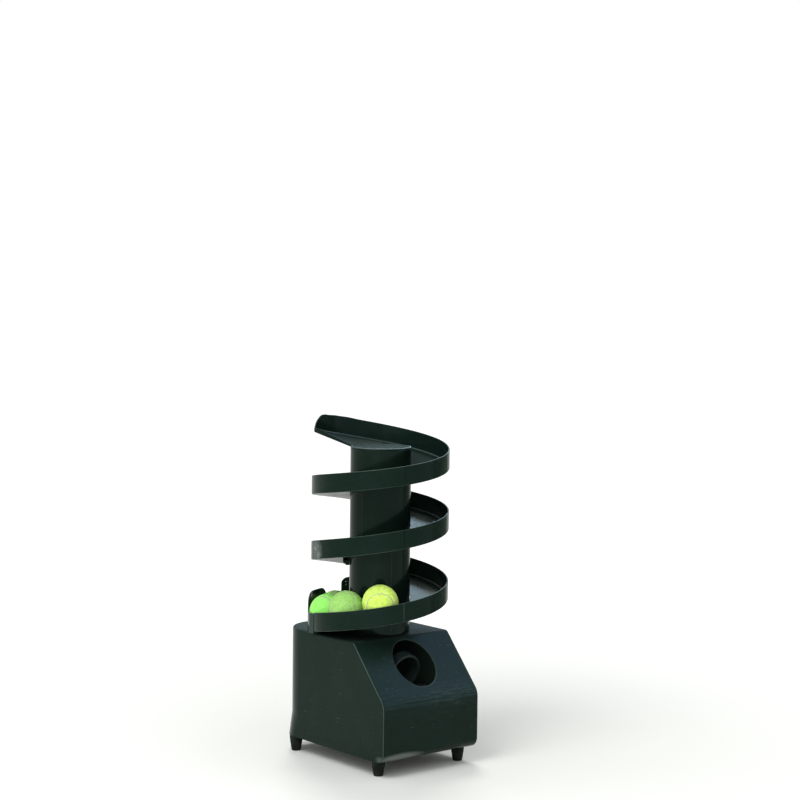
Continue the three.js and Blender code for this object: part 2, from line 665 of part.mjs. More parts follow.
// Ramp: the landing with the column's cap, and five lengths of channel
function lug(station) {
  const z = underside(station);
  return solid(block(
    ramp.inner, ramp.inner + ramp.lugReach, -ramp.lugWidth / 2, ramp.lugWidth / 2, z - ramp.lugDrop, z + bond,
  ).rotateZ(stationAngle(station)).translate(0, column.y, 0));
}
function landing() {
  const cap = solid(turned([
    [0, column.top - ramp.floor], [column.radius, column.top - ramp.floor], [column.radius, column.top],
    [0, column.top],
  ], column.sides).translate(0, column.y, 0));
  const plug = solid(turned([
    [0, column.top - column.spigot], [capInner - column.wall, column.top - column.spigot],
    [capInner - column.wall, column.top - ramp.floor + bond], [0, column.top - ramp.floor + bond],
  ], column.sides).translate(0, column.y, 0));
  return join(
    channel(ramp.startShare, ramp.landingEndShare, landingProfile),
    channel(ramp.landingEndShare, ramp.seamShare - ramp.seamGapShare, plainProfile),
    cap, plug,
  );
}
add("ramp_landing", shaped(landing()), blackPlastic);
for (let i = 0; i < ramp.sections; i += 1) {
  const from = ramp.seamShare + i * ramp.halfTurnShare;
  const to = Math.min(from + ramp.halfTurnShare, ramp.endShare);
  const length = channel(from, to - ramp.seamGapShare, plainProfile);
  const held = from < ramp.lugShare && ramp.lugShare < to;
  add(`ramp_section_${i + 1}`, shaped(held ? join(length, lug(ramp.lugShare)) : length), blackPlastic);
}

// Inlet guard: a low wall round the inlet hole with two raised tabs, a flange and an end wall
const guardCount = Math.round((guard.last - guard.first) / guard.step);
const guardAngles = [
  ...guard.tabs.flatMap(({ from, to }) => [from - guard.edge, from, to, to + guard.edge]),
  ...Array.from({ length: guardCount + 1 }, (_, i) => guard.first + i * guard.step),
].filter((angle, i, all) => (
  angle < guard.last + guard.edge / 2 && all.findIndex((other) => Math.abs(other - angle) < guard.edge / 2) === i
)).sort((a, b) => a - b);
function guardTop(angle) {
  const rises = guard.tabs.filter(({ from, to }) => angle >= from && angle <= to).map((tab) => {
    const first = 1 - ((angle - tab.from) * guard.radius) / tab.firstCorner;
    const last = 1 - ((tab.to - angle) * guard.radius) / tab.lastCorner;
    return tab.rise - tab.drop * (1 - Math.sqrt(1 - Math.max(first, last, 0) ** 2));
  });
  return housing.top + Math.max(guard.rise, ...rises);
}
function curved(angles, inner, bottom, topAt) {
  const rings = angles.map((angle) => [
    [inner, bottom], [guard.radius, bottom], [guard.radius, topAt(angle)], [inner, topAt(angle)],
  ].map(([radius, z]) => polar(radius, guard.start - angle, z)));
  return solid(loft(rings, circle(1, rings[0].length)));
}
function inletGuard() {
  const [bottom, top] = [housing.top + gap, housing.top + gap + guard.floor];
  const flangeAngles = guardAngles.filter((angle) => angle > -guard.edge);
  const flange = curved(flangeAngles, guard.radius - guard.flange, bottom, () => top);
  const end = solid(block(
    ramp.inner, guard.radius - bond, 0, guard.wall, bottom, housing.top + guard.endRise,
  ).rotateZ(guard.start - guard.last).translate(0, column.y, 0));
  return cut(
    join(curved(guardAngles, guard.inner, bottom, guardTop), flange, end),
    inletBore(bottom - overrun, top + overrun),
  );
}
add("inlet_guard", shaped(inletGuard()), blackPlastic);

// Feed chute with the gate's rails, cut back where the arm swings past
const [gateX0, gateX1] = [inlet.x - gate.half, inlet.x + gate.half];
const [gateY0, gateY1] = [inlet.y - gate.half, inlet.y + gate.half];
function slanted(radius, extra) {
  const from = new THREE.Vector3(inlet.x, inlet.y, chute.plateTop);
  const to = new THREE.Vector3(chute.footX, chute.footY, chute.footZ);
  const shift = to.clone().sub(from);
  const rings = [-extra, 1 + extra].map((share) => circle(radius, chute.sides).map((point) => new THREE.Vector3(
    from.x + shift.x * share + point.x, from.y + shift.y * share + point.y, from.z + shift.z * share,
  )));
  return solid(loft(rings, circle(radius, chute.sides)));
}
function feedChute() {
  const [x0, x1] = [gateX0 - gap - chute.rail, gateX1 + gap + chute.rail];
  const [y0, y1] = [gateY0 - gate.travel - gap, gateY1 + gap + chute.rail];
  const [low, high] = [chute.plateTop - chute.plate, housing.inside - gap];
  const plateBody = solid(block(x0, x1, y0, y1, low, chute.plateTop));
  const rails = [
    solid(block(x0, x0 + chute.rail, y0, y1, low, high)),
    solid(block(x1 - chute.rail, x1, y0, y1, low, high)),
    solid(block(x0, x1, y1 - chute.rail, y1, low, high)),
  ];
  const swing = solid(slabX(
    circle(arm.sweep + chute.clearance, 2 * column.sides, arm.y, arm.z),
    -housing.side, housing.side,
  ));
  const lightening = solid(block(
    gateX0 + chute.rail * 2, gateX1 - chute.rail * 2, y0 - overrun, gateY0 - chute.rail * 2, low - overrun,
    chute.plateTop + overrun,
  ));
  const tube = slanted(chute.bore + chute.wall, 0);
  return cut(join(plateBody, ...rails, tube), slanted(chute.bore, chute.pastShare), swing, lightening);
}
add("feed_chute", shaped(feedChute()), innerPlastic);

add("feed_gate", outward(block(gateX0, gateX1, gateY0, gateY1, gate.bottom, gate.top)), innerPlastic);

// Balls: one on the gate, the others behind it up the ramp
function ballHeight(angle) {
  let station = (ramp.zeroAngle - angle) / (2 * Math.PI);
  while (station < ramp.endShare - ramp.halfTurnShare) {
    station += 1;
  }
  let height = 0;
  for (let k = -ball.probes; k <= ball.probes; k += 1) {
    const along = (ball.radius * k) / (ball.probes + 1);
    const there = station + along / (2 * Math.PI * ball.path);
    const floor = there < ramp.endShare ? floorTop(there) : housing.top;
    height = Math.max(height, floor + Math.sqrt(ball.radius ** 2 - along ** 2));
  }
  return height + gap;
}
const felts = [feltGreen, feltDull, feltGreen, feltDull, feltYellow];
ball.angles.forEach((angle, i) => {
  const z = i === 0 ? gate.top + gap + ball.radius : ballHeight(angle);
  const centre = polar(ball.radii[i], angle, z);
  add(`ball_${i + 1}`, outward(
    new THREE.SphereGeometry(ball.radius, ball.columns, ball.rows).rotateX(Math.PI / 2)
      .translate(centre.x, centre.y, centre.z),
  ), felts[i]);
});

// Arm brackets, bushes and shaft
const barPlace = {
  y: arm.y - Math.sin(arm.lean) * buffer.along,
  z: arm.z + Math.cos(arm.lean) * buffer.along,
};
const forward = { y: -Math.cos(arm.lean), z: -Math.sin(arm.lean) };
const padFace = arm.leverDepth / 2 + buffer.touch;
barPlace.y += forward.y * (padFace + buffer.pad + buffer.bar / 2);
barPlace.z += forward.z * (padFace + buffer.pad + buffer.bar / 2);
const [headBack, headFront] = [barPlace.y + bracket.headBehind, barPlace.y - bracket.headAhead];
const [headTop, headBottom] = [barPlace.z + bracket.headAbove, barPlace.z - bracket.headBelow];
const bracketOutline = [
  [bracket.front, plate.top + gap], [bracket.rear, plate.top + gap], [bracket.rear, bracket.rearTop],
  [bracket.shoulderY, bracket.shoulderZ], [bracket.neckY, bracket.neckZ], [headBack, headTop],
  [headFront, headTop], [headFront, headBottom], [bracket.front, bracket.heel],
].map(([y, z]) => new THREE.Vector2(y, z));
function barHole(extra) {
  return outline([
    [-buffer.bar / 2 - extra, -buffer.bar / 2 - extra], [buffer.bar / 2 + extra, -buffer.bar / 2 - extra],
    [buffer.bar / 2 + extra, buffer.bar / 2 + extra], [-buffer.bar / 2 - extra, buffer.bar / 2 + extra],
  ]).map((point) => point.rotateAround(new THREE.Vector2(), arm.lean).add(new THREE.Vector2(barPlace.y, barPlace.z)));
}
function armBracket(side) {
  const inner = side * bracket.inner;
  const outer = side * (bracket.inner + bracket.thickness);
  const tip = side * (bracket.inner + bracket.thickness + bracket.flange);
  const [x0, x1] = [Math.min(inner, outer), Math.max(inner, outer)];
  const bottom = plate.top + gap;
  const sheet = solid(slabX(bracketOutline, x0, x1, [
    circle(bush.radius + gap, bush.sides, arm.y, arm.z), barHole(gap),
  ]));
  const flange = solid(block(
    Math.min(inner, tip), Math.max(inner, tip), bracket.front, bracket.rear, bottom, bottom + bracket.thickness,
  ));
  const pegs = bracketPegs.filter(([x]) => Math.sign(x) === side).map(([x, y]) => solid(slabZ(
    circle(bracket.pegRadius, screw.sides, x, y), housing.bottom + gap, bottom + bond,
  )));
  const bores = side < 0 ? [] : [
    solid(slabX(circle(gear.bore + camShaft.clearance, shaft.sides, gear.y, gear.z), x0 - overrun, x1 + overrun)),
    solid(slabX(circle(motor.shaft + motor.clearance, shaft.sides, gear.motorY, gear.motorZ), x0 - overrun, x1 + overrun)),
  ];
  return cut(join(sheet, flange, ...pegs), ...bores);
}
[["left", -1], ["right", 1]].forEach(([name, side]) => {
  add(`arm_bracket_${name}`, shaped(armBracket(side)), steel);
  const length = bracket.thickness + bush.flangeDepth;
  const bushing = turned([
    [shaft.radius + gap, 0], [bush.flange, 0], [bush.flange, bush.flangeDepth],
    [bush.radius, bush.flangeDepth], [bush.radius, length], [shaft.radius + gap, length],
  ], bush.sides).rotateY(side * (Math.PI / 2))
    .translate(side * (bracket.inner - gap - bush.flangeDepth), arm.y, arm.z);
  add(`arm_bush_${name}`, outward(bushing), brass);
  const springFrom = arm.hubWidth / 2 + gap;
  const springTo = bracket.inner - gap - bush.flangeDepth - gap;
  const coil = slabX(
    circle(spring.outer, spring.sides, arm.y, arm.z), springFrom, springTo,
    [circle(spring.inner, spring.sides, arm.y, arm.z)],
  );
  add(`throw_spring_${name}`, outward(side < 0 ? coil.translate(-springFrom - springTo, 0, 0) : coil), steel);
});
add("arm_shaft", outward(slabX(
  circle(shaft.radius, shaft.sides, arm.y, arm.z), -shaft.reach, shaft.reach,
)), steel);

// Buffer bar and its rubber pad
add("buffer_bar", outward(slabX(
  barHole(0), -bracket.inner - bracket.thickness - gap, bracket.inner + bracket.thickness + gap,
)), steel);
function bufferPad() {
  const half = buffer.bar / 2;
  const pad = block(
    -buffer.padWidth / 2, buffer.padWidth / 2, half + gap, half + buffer.pad, -half, half,
  );
  return outward(pad.rotateX(arm.lean).translate(0, barPlace.y, barPlace.z));
}
add("buffer_pad", bufferPad(), rubber);

// Throwing arm, drawn upright at the origin and then leaned forward to its rest place
function throwingArm() {
  const half = arm.leverWidth / 2;
  const hub = solid(slabX(circle(arm.hub, arm.ringSides), -arm.hubWidth / 2, arm.hubWidth / 2));
  const ringBottom = arm.length - arm.ringBore - arm.ringWall / 2;
  const lever = solid(block(-half, half, -arm.leverDepth / 2, arm.leverDepth / 2, 0, ringBottom));
  const tail = solid(block(-half, half, -arm.tailDepth / 2, arm.tailDepth / 2, -arm.tail, 0));
  const ring = solid(slabY(
    circle(arm.ringBore + arm.ringWall, arm.ringSides, arm.length, 0), -arm.ringDepth / 2, arm.ringDepth / 2,
    [circle(arm.ringBore, arm.ringSides, arm.length, 0)],
  ));
  const bore = solid(slabX(circle(shaft.radius + gap, shaft.sides), -arm.hubWidth, arm.hubWidth));
  const body = cut(join(hub, lever, tail, ring), bore);
  return shaped(body).rotateX(arm.lean).translate(0, arm.y, arm.z);
}
add("throwing_arm", outward(throwingArm()), innerPlastic);

// Gears: trapezoid teeth round a blank
function toothed(teeth, turnBy) {
  const pitch = (2 * Math.PI) / teeth;
  const root = (gear.module * teeth) / 2 - gear.dedendum * gear.module;
  const tip = (gear.module * teeth) / 2 + gear.addendum * gear.module;
  const [rootEnd, tipStart, tipEnd, rootStart] = gear.toothShares;
  return Array.from({ length: teeth }, (_, i) => [
    [rootEnd, root], [tipStart, tip], [tipEnd, tip], [rootStart, root],
  ].map(([share, radius]) => new THREE.Vector2(
    radius * Math.cos((i + share) * pitch + turnBy), radius * Math.sin((i + share) * pitch + turnBy),
  ))).flat();
}
const shifted = (points, y, z) => points.map((point) => point.clone().add(new THREE.Vector2(y, z)));
function camGear() {
  const line = gear.lineAngle - Math.PI / gear.teeth;
  const blank = solid(slabX(shifted(toothed(gear.teeth, line), gear.y, gear.z), gear.x, gear.x + gear.width));
  const hub = solid(slabX(circle(gear.hub, shaft.sides, gear.y, gear.z), gear.x + bond, gear.x + gear.width + gear.hubWidth));
  const pin = solid(slabX(
    circle(roller.pin, screw.sides, gear.y, gear.z + roller.crank), gear.x - roller.length, gear.x + bond,
  ));
  const bore = solid(slabX(circle(gear.bore + gap, shaft.sides, gear.y, gear.z), gear.x - overrun, camShaft.reach));
  return cut(join(blank, hub, pin), bore);
}
add("cam_gear", shaped(camGear()), whitePlastic);
add("crank_roller", outward(slabX(
  circle(roller.radius, roller.sides, gear.y, gear.z + roller.crank), gear.x - roller.length, gear.x - gap,
  [circle(roller.pin + gap, screw.sides, gear.y, gear.z + roller.crank)],
)), brass);
add("cam_shaft", outward(slabX(
  circle(gear.bore, shaft.sides, gear.y, gear.z), gear.x, camShaft.reach,
)), steel);
function pinion() {
  const line = gear.lineAngle + Math.PI;
  const halfTooth = Math.PI / gear.pinionTeeth;
  const blank = solid(slabX(
    shifted(toothed(gear.pinionTeeth, line - 2 * halfTooth), gear.motorY, gear.motorZ), gear.x, gear.x + gear.width,
  ));
  const bore = solid(slabX(
    circle(motor.shaft + gap, shaft.sides, gear.motorY, gear.motorZ), gear.x - overrun, gear.x + gear.width + overrun,
  ));
  return cut(blank, bore);
}
add("motor_pinion", shaped(pinion()), brass);
function gearMotor() {
  const from = motor.from;
  const half = motor.box / 2;
  const box = solid(slabX(outline([
    [gear.motorY - half, gear.motorZ - half + overrun, overrun], [gear.motorY + half, gear.motorZ - half + overrun, overrun],
    [gear.motorY + half, gear.motorZ + half, overrun], [gear.motorY - half, gear.motorZ + half, overrun],
  ], 3), from, from + motor.boxLength));
  const can = solid(slabX(
    circle(motor.can, motor.sides, gear.motorY, gear.motorZ), from + motor.boxLength - bond,
    from + motor.boxLength + motor.canLength,
  ));
  const drive = solid(slabX(
    circle(motor.shaft, shaft.sides, gear.motorY, gear.motorZ), gear.x - motor.tip, from + bond,
  ));
  return join(box, can, drive);
}
add("gear_motor", shaped(gearMotor()), steel);

// Battery tray and six cells in two rows
function batteryTray() {
  const box = [
    [tray.front, tray.bottom, tray.edge], [tray.rear, tray.bottom, tray.edge],
    [tray.rear, tray.bottom + tray.height], [tray.front, tray.bottom + tray.height],
  ];
  const well = inset(box, tray.wall).map(([y, z, radius]) => [y, radius > 0 ? z : z + tray.wall + overrun, radius]);
  const outer = solid(slabX(outline(box), -tray.halfLength, tray.halfLength));
  const pocket = solid(slabX(outline(well), -tray.halfLength + tray.wall, tray.halfLength - tray.wall));
  const bottomWindow = solid(block(
    -door.half + door.lap, door.half - door.lap, door.front + door.lap, door.rear - door.lap,
    tray.bottom - overrun, tray.bottom + tray.wall + overrun,
  ));
  return cut(outer, pocket, bottomWindow);
}
add("battery_tray", shaped(batteryTray()), innerPlastic);
function batteryCell() {
  const body = cell.length - cell.nubHeight;
  return turned([
    [0, 0], [cell.radius, 0], [cell.radius, body], [cell.nub, body], [cell.nub, cell.length], [0, cell.length],
  ], cell.sides);
}
const cellZ = tray.bottom + tray.wall + cell.radius + gap;
for (let row = 0; row < cell.rows; row += 1) {
  const y = tray.front + tray.wall + cell.space / 2 + cell.radius + row * (2 * cell.radius + cell.space);
  for (let i = 0; i < cell.perRow; i += 1) {
    const x = (i - cell.perRow / 2) * (cell.length + cell.space) + cell.space / 2;
    const way = row % 2 === 0 ? 1 : -1;
    const place = batteryCell().rotateY((way * Math.PI) / 2).translate(way > 0 ? x : x + cell.length, y, cellZ);
    add(`battery_cell_${row * cell.perRow + i + 1}`, outward(place), cellJacket);
  }
}

// Rocker switch, charging socket and control board
function switchBody() {
  const outerX = rocker.halfX + rocker.wall;
  const outerZ = rocker.halfZ + rocker.wall;
  const rim = rocker.bezel;
  const frame = solid(block(
    rocker.x - outerX - rim, rocker.x + outerX + rim, housing.rear + gap, housing.rear + gap + rocker.bezelDepth,
    rocker.z - outerZ - rim, rocker.z + outerZ + rim,
  ));
  const box = solid(block(
    rocker.x - outerX, rocker.x + outerX, housing.rear - rocker.body, housing.rear + gap + bond,
    rocker.z - outerZ, rocker.z + outerZ,
  ));
  const well = solid(block(
    rocker.x - rocker.halfX, rocker.x + rocker.halfX,
    housing.rear - rocker.depth - rocker.clearance, housing.rear + rocker.bezelDepth + overrun,
    rocker.z - rocker.halfZ, rocker.z + rocker.halfZ,
  ));
  const inner = solid(block(
    rocker.x - rocker.halfX + rocker.wall, rocker.x + rocker.halfX - rocker.wall,
    housing.rear - rocker.body - overrun, housing.rear,
    rocker.z - rocker.halfZ + rocker.wall, rocker.z + rocker.halfZ - rocker.wall,
  ));
  return cut(join(frame, box), well, inner);
}
add("switch_body", shaped(switchBody()), innerPlastic);
const rockerPivot = { y: housing.rear + rocker.bezelDepth - rocker.pivotInset, z: rocker.z };
function rockerKey() {
  const halfZ = rocker.halfZ - rocker.clearance;
  const face = rocker.bezelDepth + rocker.lift;
  const dish = rocker.lift;
  const points = [
    [0, rockerPivot.z - halfZ], [face, rockerPivot.z - halfZ], [face - dish, rockerPivot.z],
    [face, rockerPivot.z + halfZ], [0, rockerPivot.z + halfZ], [-rocker.depth / 2, rockerPivot.z],
  ].map(([y, z]) => new THREE.Vector2(housing.rear + y, z));
  return slabX(points, rocker.x - rocker.halfX + gap, rocker.x + rocker.halfX - gap)
    .translate(0, -rockerPivot.y, -rockerPivot.z).rotateX(rocker.tilt)
    .translate(0, rockerPivot.y, rockerPivot.z);
}
add("rocker_switch", outward(rockerKey()), rubber);
function socket() {
  const flangeFace = housing.rear + gap + jack.flangeDepth;
  const flange = solid(slabY(circle(jack.flange, jack.sides, jack.z, jack.x), housing.rear + gap, flangeFace));
  const body = solid(slabY(circle(jack.radius, jack.sides, jack.z, jack.x), flangeFace - jack.body, housing.rear + gap + bond));
  const bore = solid(slabY(circle(jack.bore, jack.sides, jack.z, jack.x), flangeFace - jack.body + overrun, flangeFace + overrun));
  const pin = solid(slabY(circle(jack.pin, screw.sides, jack.z, jack.x), flangeFace - jack.body + overrun - bond, flangeFace - overrun));
  return join(cut(join(flange, body), bore), pin);
}
add("charging_socket", shaped(socket()), innerPlastic);
function controlBoard() {
  const back = innerRear - board.offset - gap;
  const front = back - board.thickness;
  const sheet = solid(block(
    board.x - board.halfX, board.x + board.halfX, front, back, board.z - board.halfZ, board.z + board.halfZ,
  ));
  const on = (x, z, halfX, halfZ, height) => solid(block(
    x - halfX, x + halfX, front - height, front + bond, z - halfZ, z + halfZ,
  ));
  const chip = on(board.x - board.halfX / 3, board.z + board.halfZ / 2, board.chip / 2, board.chip / 4, board.chipHeight);
  const relay = on(board.x + board.halfX / 2, board.z + board.halfZ / 2, board.relay / 2, board.relay / 3, board.relayHeight);
  const cans = [-1, 1].map((k) => solid(slabY(
    circle(board.can, shaft.sides, board.z - board.halfZ / 2, board.x + (k * board.halfX) / 2),
    front - board.canHeight, front + bond,
  )));
  return join(sheet, chip, relay, ...cans);
}
add("control_board", shaped(controlBoard()), boardGreen);

// Everything moves so that the machine's whole depth is centred on the origin
const box = new THREE.Box3().setFromObject(part);
const backwards = -(box.min.y + box.max.y) / 2;
part.children.forEach((mesh) => mesh.geometry.translate(0, backwards, 0));

export default part;
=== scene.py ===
# %% [markdown]
# # A tennis ball machine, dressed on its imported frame
# The machine throws balls with a sprung arm inside a black plastic case. Balls wait on a spiral
# ramp round a hollow column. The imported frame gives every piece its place, so this lesson only
# adds what the eye wants: round edges, moulded plastic, felt, rubber and light.

# %% Load the frame
import json
import math

import bmesh
import bpy
from mathutils import Matrix, Vector, kdtree, noise

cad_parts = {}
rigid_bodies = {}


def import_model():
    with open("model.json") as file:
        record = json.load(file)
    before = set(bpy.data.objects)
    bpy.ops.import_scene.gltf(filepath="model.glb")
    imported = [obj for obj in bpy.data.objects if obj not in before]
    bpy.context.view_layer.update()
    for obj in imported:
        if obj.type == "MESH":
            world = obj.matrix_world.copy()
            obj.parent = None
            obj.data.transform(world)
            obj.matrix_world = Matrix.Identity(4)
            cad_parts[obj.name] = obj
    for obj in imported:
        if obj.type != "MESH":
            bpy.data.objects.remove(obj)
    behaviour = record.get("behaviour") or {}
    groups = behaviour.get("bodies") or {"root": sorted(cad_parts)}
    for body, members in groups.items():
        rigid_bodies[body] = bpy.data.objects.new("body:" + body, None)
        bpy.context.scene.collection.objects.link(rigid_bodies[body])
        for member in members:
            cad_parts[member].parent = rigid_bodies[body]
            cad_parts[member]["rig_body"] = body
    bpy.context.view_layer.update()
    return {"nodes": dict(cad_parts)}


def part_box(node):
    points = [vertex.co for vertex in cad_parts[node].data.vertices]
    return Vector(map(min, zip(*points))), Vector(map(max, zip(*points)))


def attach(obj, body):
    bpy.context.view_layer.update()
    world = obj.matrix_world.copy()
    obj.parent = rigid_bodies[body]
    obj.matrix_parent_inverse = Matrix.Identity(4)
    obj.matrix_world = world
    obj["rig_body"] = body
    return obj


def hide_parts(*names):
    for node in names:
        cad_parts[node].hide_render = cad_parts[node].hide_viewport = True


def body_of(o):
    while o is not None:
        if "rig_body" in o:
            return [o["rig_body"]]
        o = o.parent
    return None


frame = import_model()

# %% [markdown]
# ## Camera
# The photograph was taken from the front left corner, a little above the machine, from about
# 3.7 m. The camera is worked out from angles round the column's axis, because the column is the
# one thing that every other piece is placed by. A camera held by hand is never quite level, so
# it also has a small yaw and roll.

# %% Camera
MM = 0.001
SQUARE = 800
FILM_WIDTH = 36
CAMERA = {
    "azimuth": -38.75, "distance": 3654.8, "beside_axis": (2.958, -2.428), "height": 909.1,
    "yaw": -0.49, "pitch": -3.56, "roll": 0.64, "focal_pixels": 1932.49,
}


def mm(x, y, z):
    return Vector((x, y, z)) * MM


low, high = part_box("column_lower")
AXIS_X = (low.x + high.x) / 2 / MM
AXIS_Y = (low.y + high.y) / 2 / MM

from_axis = math.radians(CAMERA["azimuth"])
outwards = Vector((math.sin(from_axis), -math.cos(from_axis), 0))
beside_x, beside_y = CAMERA["beside_axis"]
place = outwards * CAMERA["distance"] + Vector((AXIS_X + beside_x, AXIS_Y + beside_y, CAMERA["height"]))
flat = Matrix.Rotation(math.radians(CAMERA["yaw"]), 3, "Z") @ -outwards
pitch = math.radians(CAMERA["pitch"])
forward = flat * math.cos(pitch) + Vector((0, 0, math.sin(pitch)))
level_right = forward.cross(Vector((0, 0, 1))).normalized()
level_up = level_right.cross(forward)
roll = math.radians(CAMERA["roll"])
right = level_right * math.cos(roll) + level_up * math.sin(roll)
up = level_up * math.cos(roll) - level_right * math.sin(roll)

camera_data = bpy.data.cameras.new("camera")
camera_data.sensor_fit = "HORIZONTAL"
camera_data.sensor_width = FILM_WIDTH
camera_data.lens = FILM_WIDTH * CAMERA["focal_pixels"] / SQUARE
camera_data.clip_end = 60
camera = bpy.data.objects.new("camera", camera_data)
bpy.context.scene.collection.objects.link(camera)
turn = Matrix((right, up, -forward)).transposed()
camera.matrix_world = Matrix.Translation(place * MM) @ turn.to_4x4()
bpy.context.scene.camera = camera
print("camera at", [round(v, 3) for v in camera.location], "lens", round(camera_data.lens, 1))

# %% [markdown]
# ## Colour and nodes
# Colours are given as sRGB hex, but shaders count in linear light, so one function
# turns them. A second one adds a shader node with its settings and links. The short ones after
# it name what a node is for, such as a cloudy pattern or a raised surface, which keeps each
# material down to the few lines that say what it is. They take sizes in mm, because the
# patterns come from measures of the real stuff.

# %% Colour and node helpers


def linear(hex_colour):
    parts = [int(hex_colour[i:i + 2], 16) / 255 for i in (1, 3, 5)]
    return tuple(c / 12.92 if c <= 0.04045 else ((c + 0.055) / 1.055) ** 2.4 for c in parts) + (1.0,)


def add(tree, kind, inputs=None, **settings):
    """Adds one node. Inputs are values, or sockets to link, by the input's name or number."""
    made = tree.nodes.new(kind)
    for key, value in settings.items():
        setattr(made, key, value)
    for key, value in (inputs or {}).items():
        if isinstance(value, bpy.types.NodeSocket):
            tree.links.new(value, made.inputs[key])
        else:
            made.inputs[key].default_value = value
    return made


def material(name):
    """An empty node material: its tree, its output and coordinates in metres on the piece."""
    made = bpy.data.materials.new(name)
    made.use_nodes = True
    made.node_tree.nodes.clear()
    output = add(made.node_tree, "ShaderNodeOutputMaterial")
    where = add(made.node_tree, "ShaderNodeTexCoord").outputs["Object"]
    return made, made.node_tree, output, where


def per(size):
    """A texture scale for features of this size in mm, because the coordinates are metres."""
    return 1000 / size


# %% Pattern helpers


def maths(tree, operation, *values):
    return add(tree, "ShaderNodeMath", dict(enumerate(values)), operation=operation).outputs["Value"]


def ranged(tree, value, low_in, high_in, low_out=0.0, high_out=1.0):
    """Turns one span of values into another, and clamps what lies outside."""
    return add(tree, "ShaderNodeMapRange", {
        "Value": value, "From Min": low_in, "From Max": high_in, "To Min": low_out, "To Max": high_out,
    }).outputs["Result"]


def mottle(tree, where, size, detail, roughness=0.5, distortion=0.0):
    """A cloudy pattern with features of this size in mm."""
    return add(tree, "ShaderNodeTexNoise", {
        "Vector": where, "Scale": per(size), "Detail": detail,
        "Roughness": roughness, "Distortion": distortion,
    }).outputs["Fac"]


def stretched(tree, where, scale, turned_by=(0, 0, 0)):
    """Turned and scaled coordinates. A small scale draws the pattern out in that direction."""
    mapping = add(tree, "ShaderNodeMapping", {"Vector": where, "Scale": scale, "Rotation": turned_by})
    return mapping.outputs["Vector"]


def blend(tree, share, first, second):
    """Mixes two colours. Each is a hex colour or a socket."""
    ends = [linear(colour) if isinstance(colour, str) else colour for colour in (first, second)]
    return add(tree, "ShaderNodeMix", {0: share, 6: ends[0], 7: ends[1]}, data_type="RGBA").outputs[2]


def raised_by(tree, height, strength, depth, under=None):
    """Bumps a surface by a pattern, depth in mm, on top of the bump under it."""
    inputs = {"Height": height, "Strength": strength, "Distance": depth * MM}
    if under is not None:
        inputs["Normal"] = under
    return add(tree, "ShaderNodeBump", inputs).outputs["Normal"]


def surface(tree, output, inputs):
    """The standard shader, which can stand for nearly every real finish."""
    shader = add(tree, "ShaderNodeBsdfPrincipled", inputs)
    tree.links.new(shader.outputs[0], output.inputs["Surface"])


def camera_and_mirrored(tree):
    """Two sockets: one for what the camera sees itself, one for what it sees in a reflection."""
    rays = add(tree, "ShaderNodeLightPath").outputs
    mirrored = maths(tree, "MAXIMUM", rays["Is Glossy Ray"], rays["Is Transmission Ray"])
    return rays["Is Camera Ray"], mirrored


# %% [markdown]
# ## Floor, world and lamps
# The machine stands on a pale floor in an even, bright room. A white backdrop must not be made
# with more light on the object, so the floor and the world only look whiter to the camera and
# to reflections, through Light Path. A wide sun high behind the machine stands for the open
# sky: its soft shadow falls towards the camera, as it does in the photograph. Two pale boxes on
# the left keep the long side and its edges readable. Black plastic shows little but what it
# mirrors, so three blue boxes stand for the sky in the slope, in the bend below it and in the
# back. Those three light nothing else, or the floor would turn blue.

# %% World
scene = bpy.context.scene
scene.view_settings.view_transform = "Standard"
world = bpy.data.worlds.new("room")
scene.world = world
world.use_nodes = True
sky = world.node_tree
sky.nodes.clear()
camera_ray, mirrored = camera_and_mirrored(sky)
shown = maths(sky, "MAXIMUM", camera_ray, mirrored)
brightness = ranged(sky, shown, 0.0, 1.0, 0.6, 1.0)
room = add(sky, "ShaderNodeBackground", {"Color": (1, 1, 1, 1), "Strength": brightness})
add(sky, "ShaderNodeOutputWorld", {"Surface": room.outputs[0]})

# %% Lamps


def lamp(name, kind, power, towards, distance=0, **settings):
    data = bpy.data.lights.new(name, kind)
    data.energy = power
    for key, value in settings.items():
        setattr(data, key, value)
    made = bpy.data.objects.new(name, data)
    scene.collection.objects.link(made)
    aim = Vector(towards).normalized()
    made.location = Vector((0, 0, 0.3)) + aim * distance
    made.rotation_euler = aim.to_track_quat("Z", "Y").to_euler()
    return made


def softbox(name, power, towards, distance, width, height, colour):
    """A rectangular lamp that faces the machine. Distance and sizes are in metres."""
    settings = {"shape": "RECTANGLE", "size": width, "size_y": height, "color": colour}
    return lamp(name, "AREA", power, towards, distance, **settings)


PAPER_WHITE = (1.0, 1.0, 0.98)
lamp("open_sky", "SUN", 1.1, (0.45, 0.6, 1.0), angle=math.radians(20), color=(1.0, 0.99, 0.97))
slope_box = softbox("slope_box", 9.0, (0.626, -0.17, 0.76), 1.8, 1.0, 0.9, (0.27, 0.5, 1.0))
bend_box = softbox("bend_box", 34, (0.626, -0.70, 0.34), 4.0, 1.9, 2.5, (0.42, 0.66, 1.0))
softbox("edge_box", 26, (-0.62, -0.15, 0.77), 2.2, 1.1, 1.1, PAPER_WHITE)
softbox("front_fill", 16, (-0.78, -0.5, 0.35), 2.6, 1.6, 1.6, PAPER_WHITE)
rear_box = softbox("rear_box", 27, (0.62, 0.69, 0.42), 3.0, 1.3, 1.3, (0.5, 0.78, 1.0))
for light in [o for o in scene.objects if o.type == "LIGHT"]:
    light.visible_camera = False
for light in (slope_box, bend_box, rear_box):
    light.visible_diffuse = False

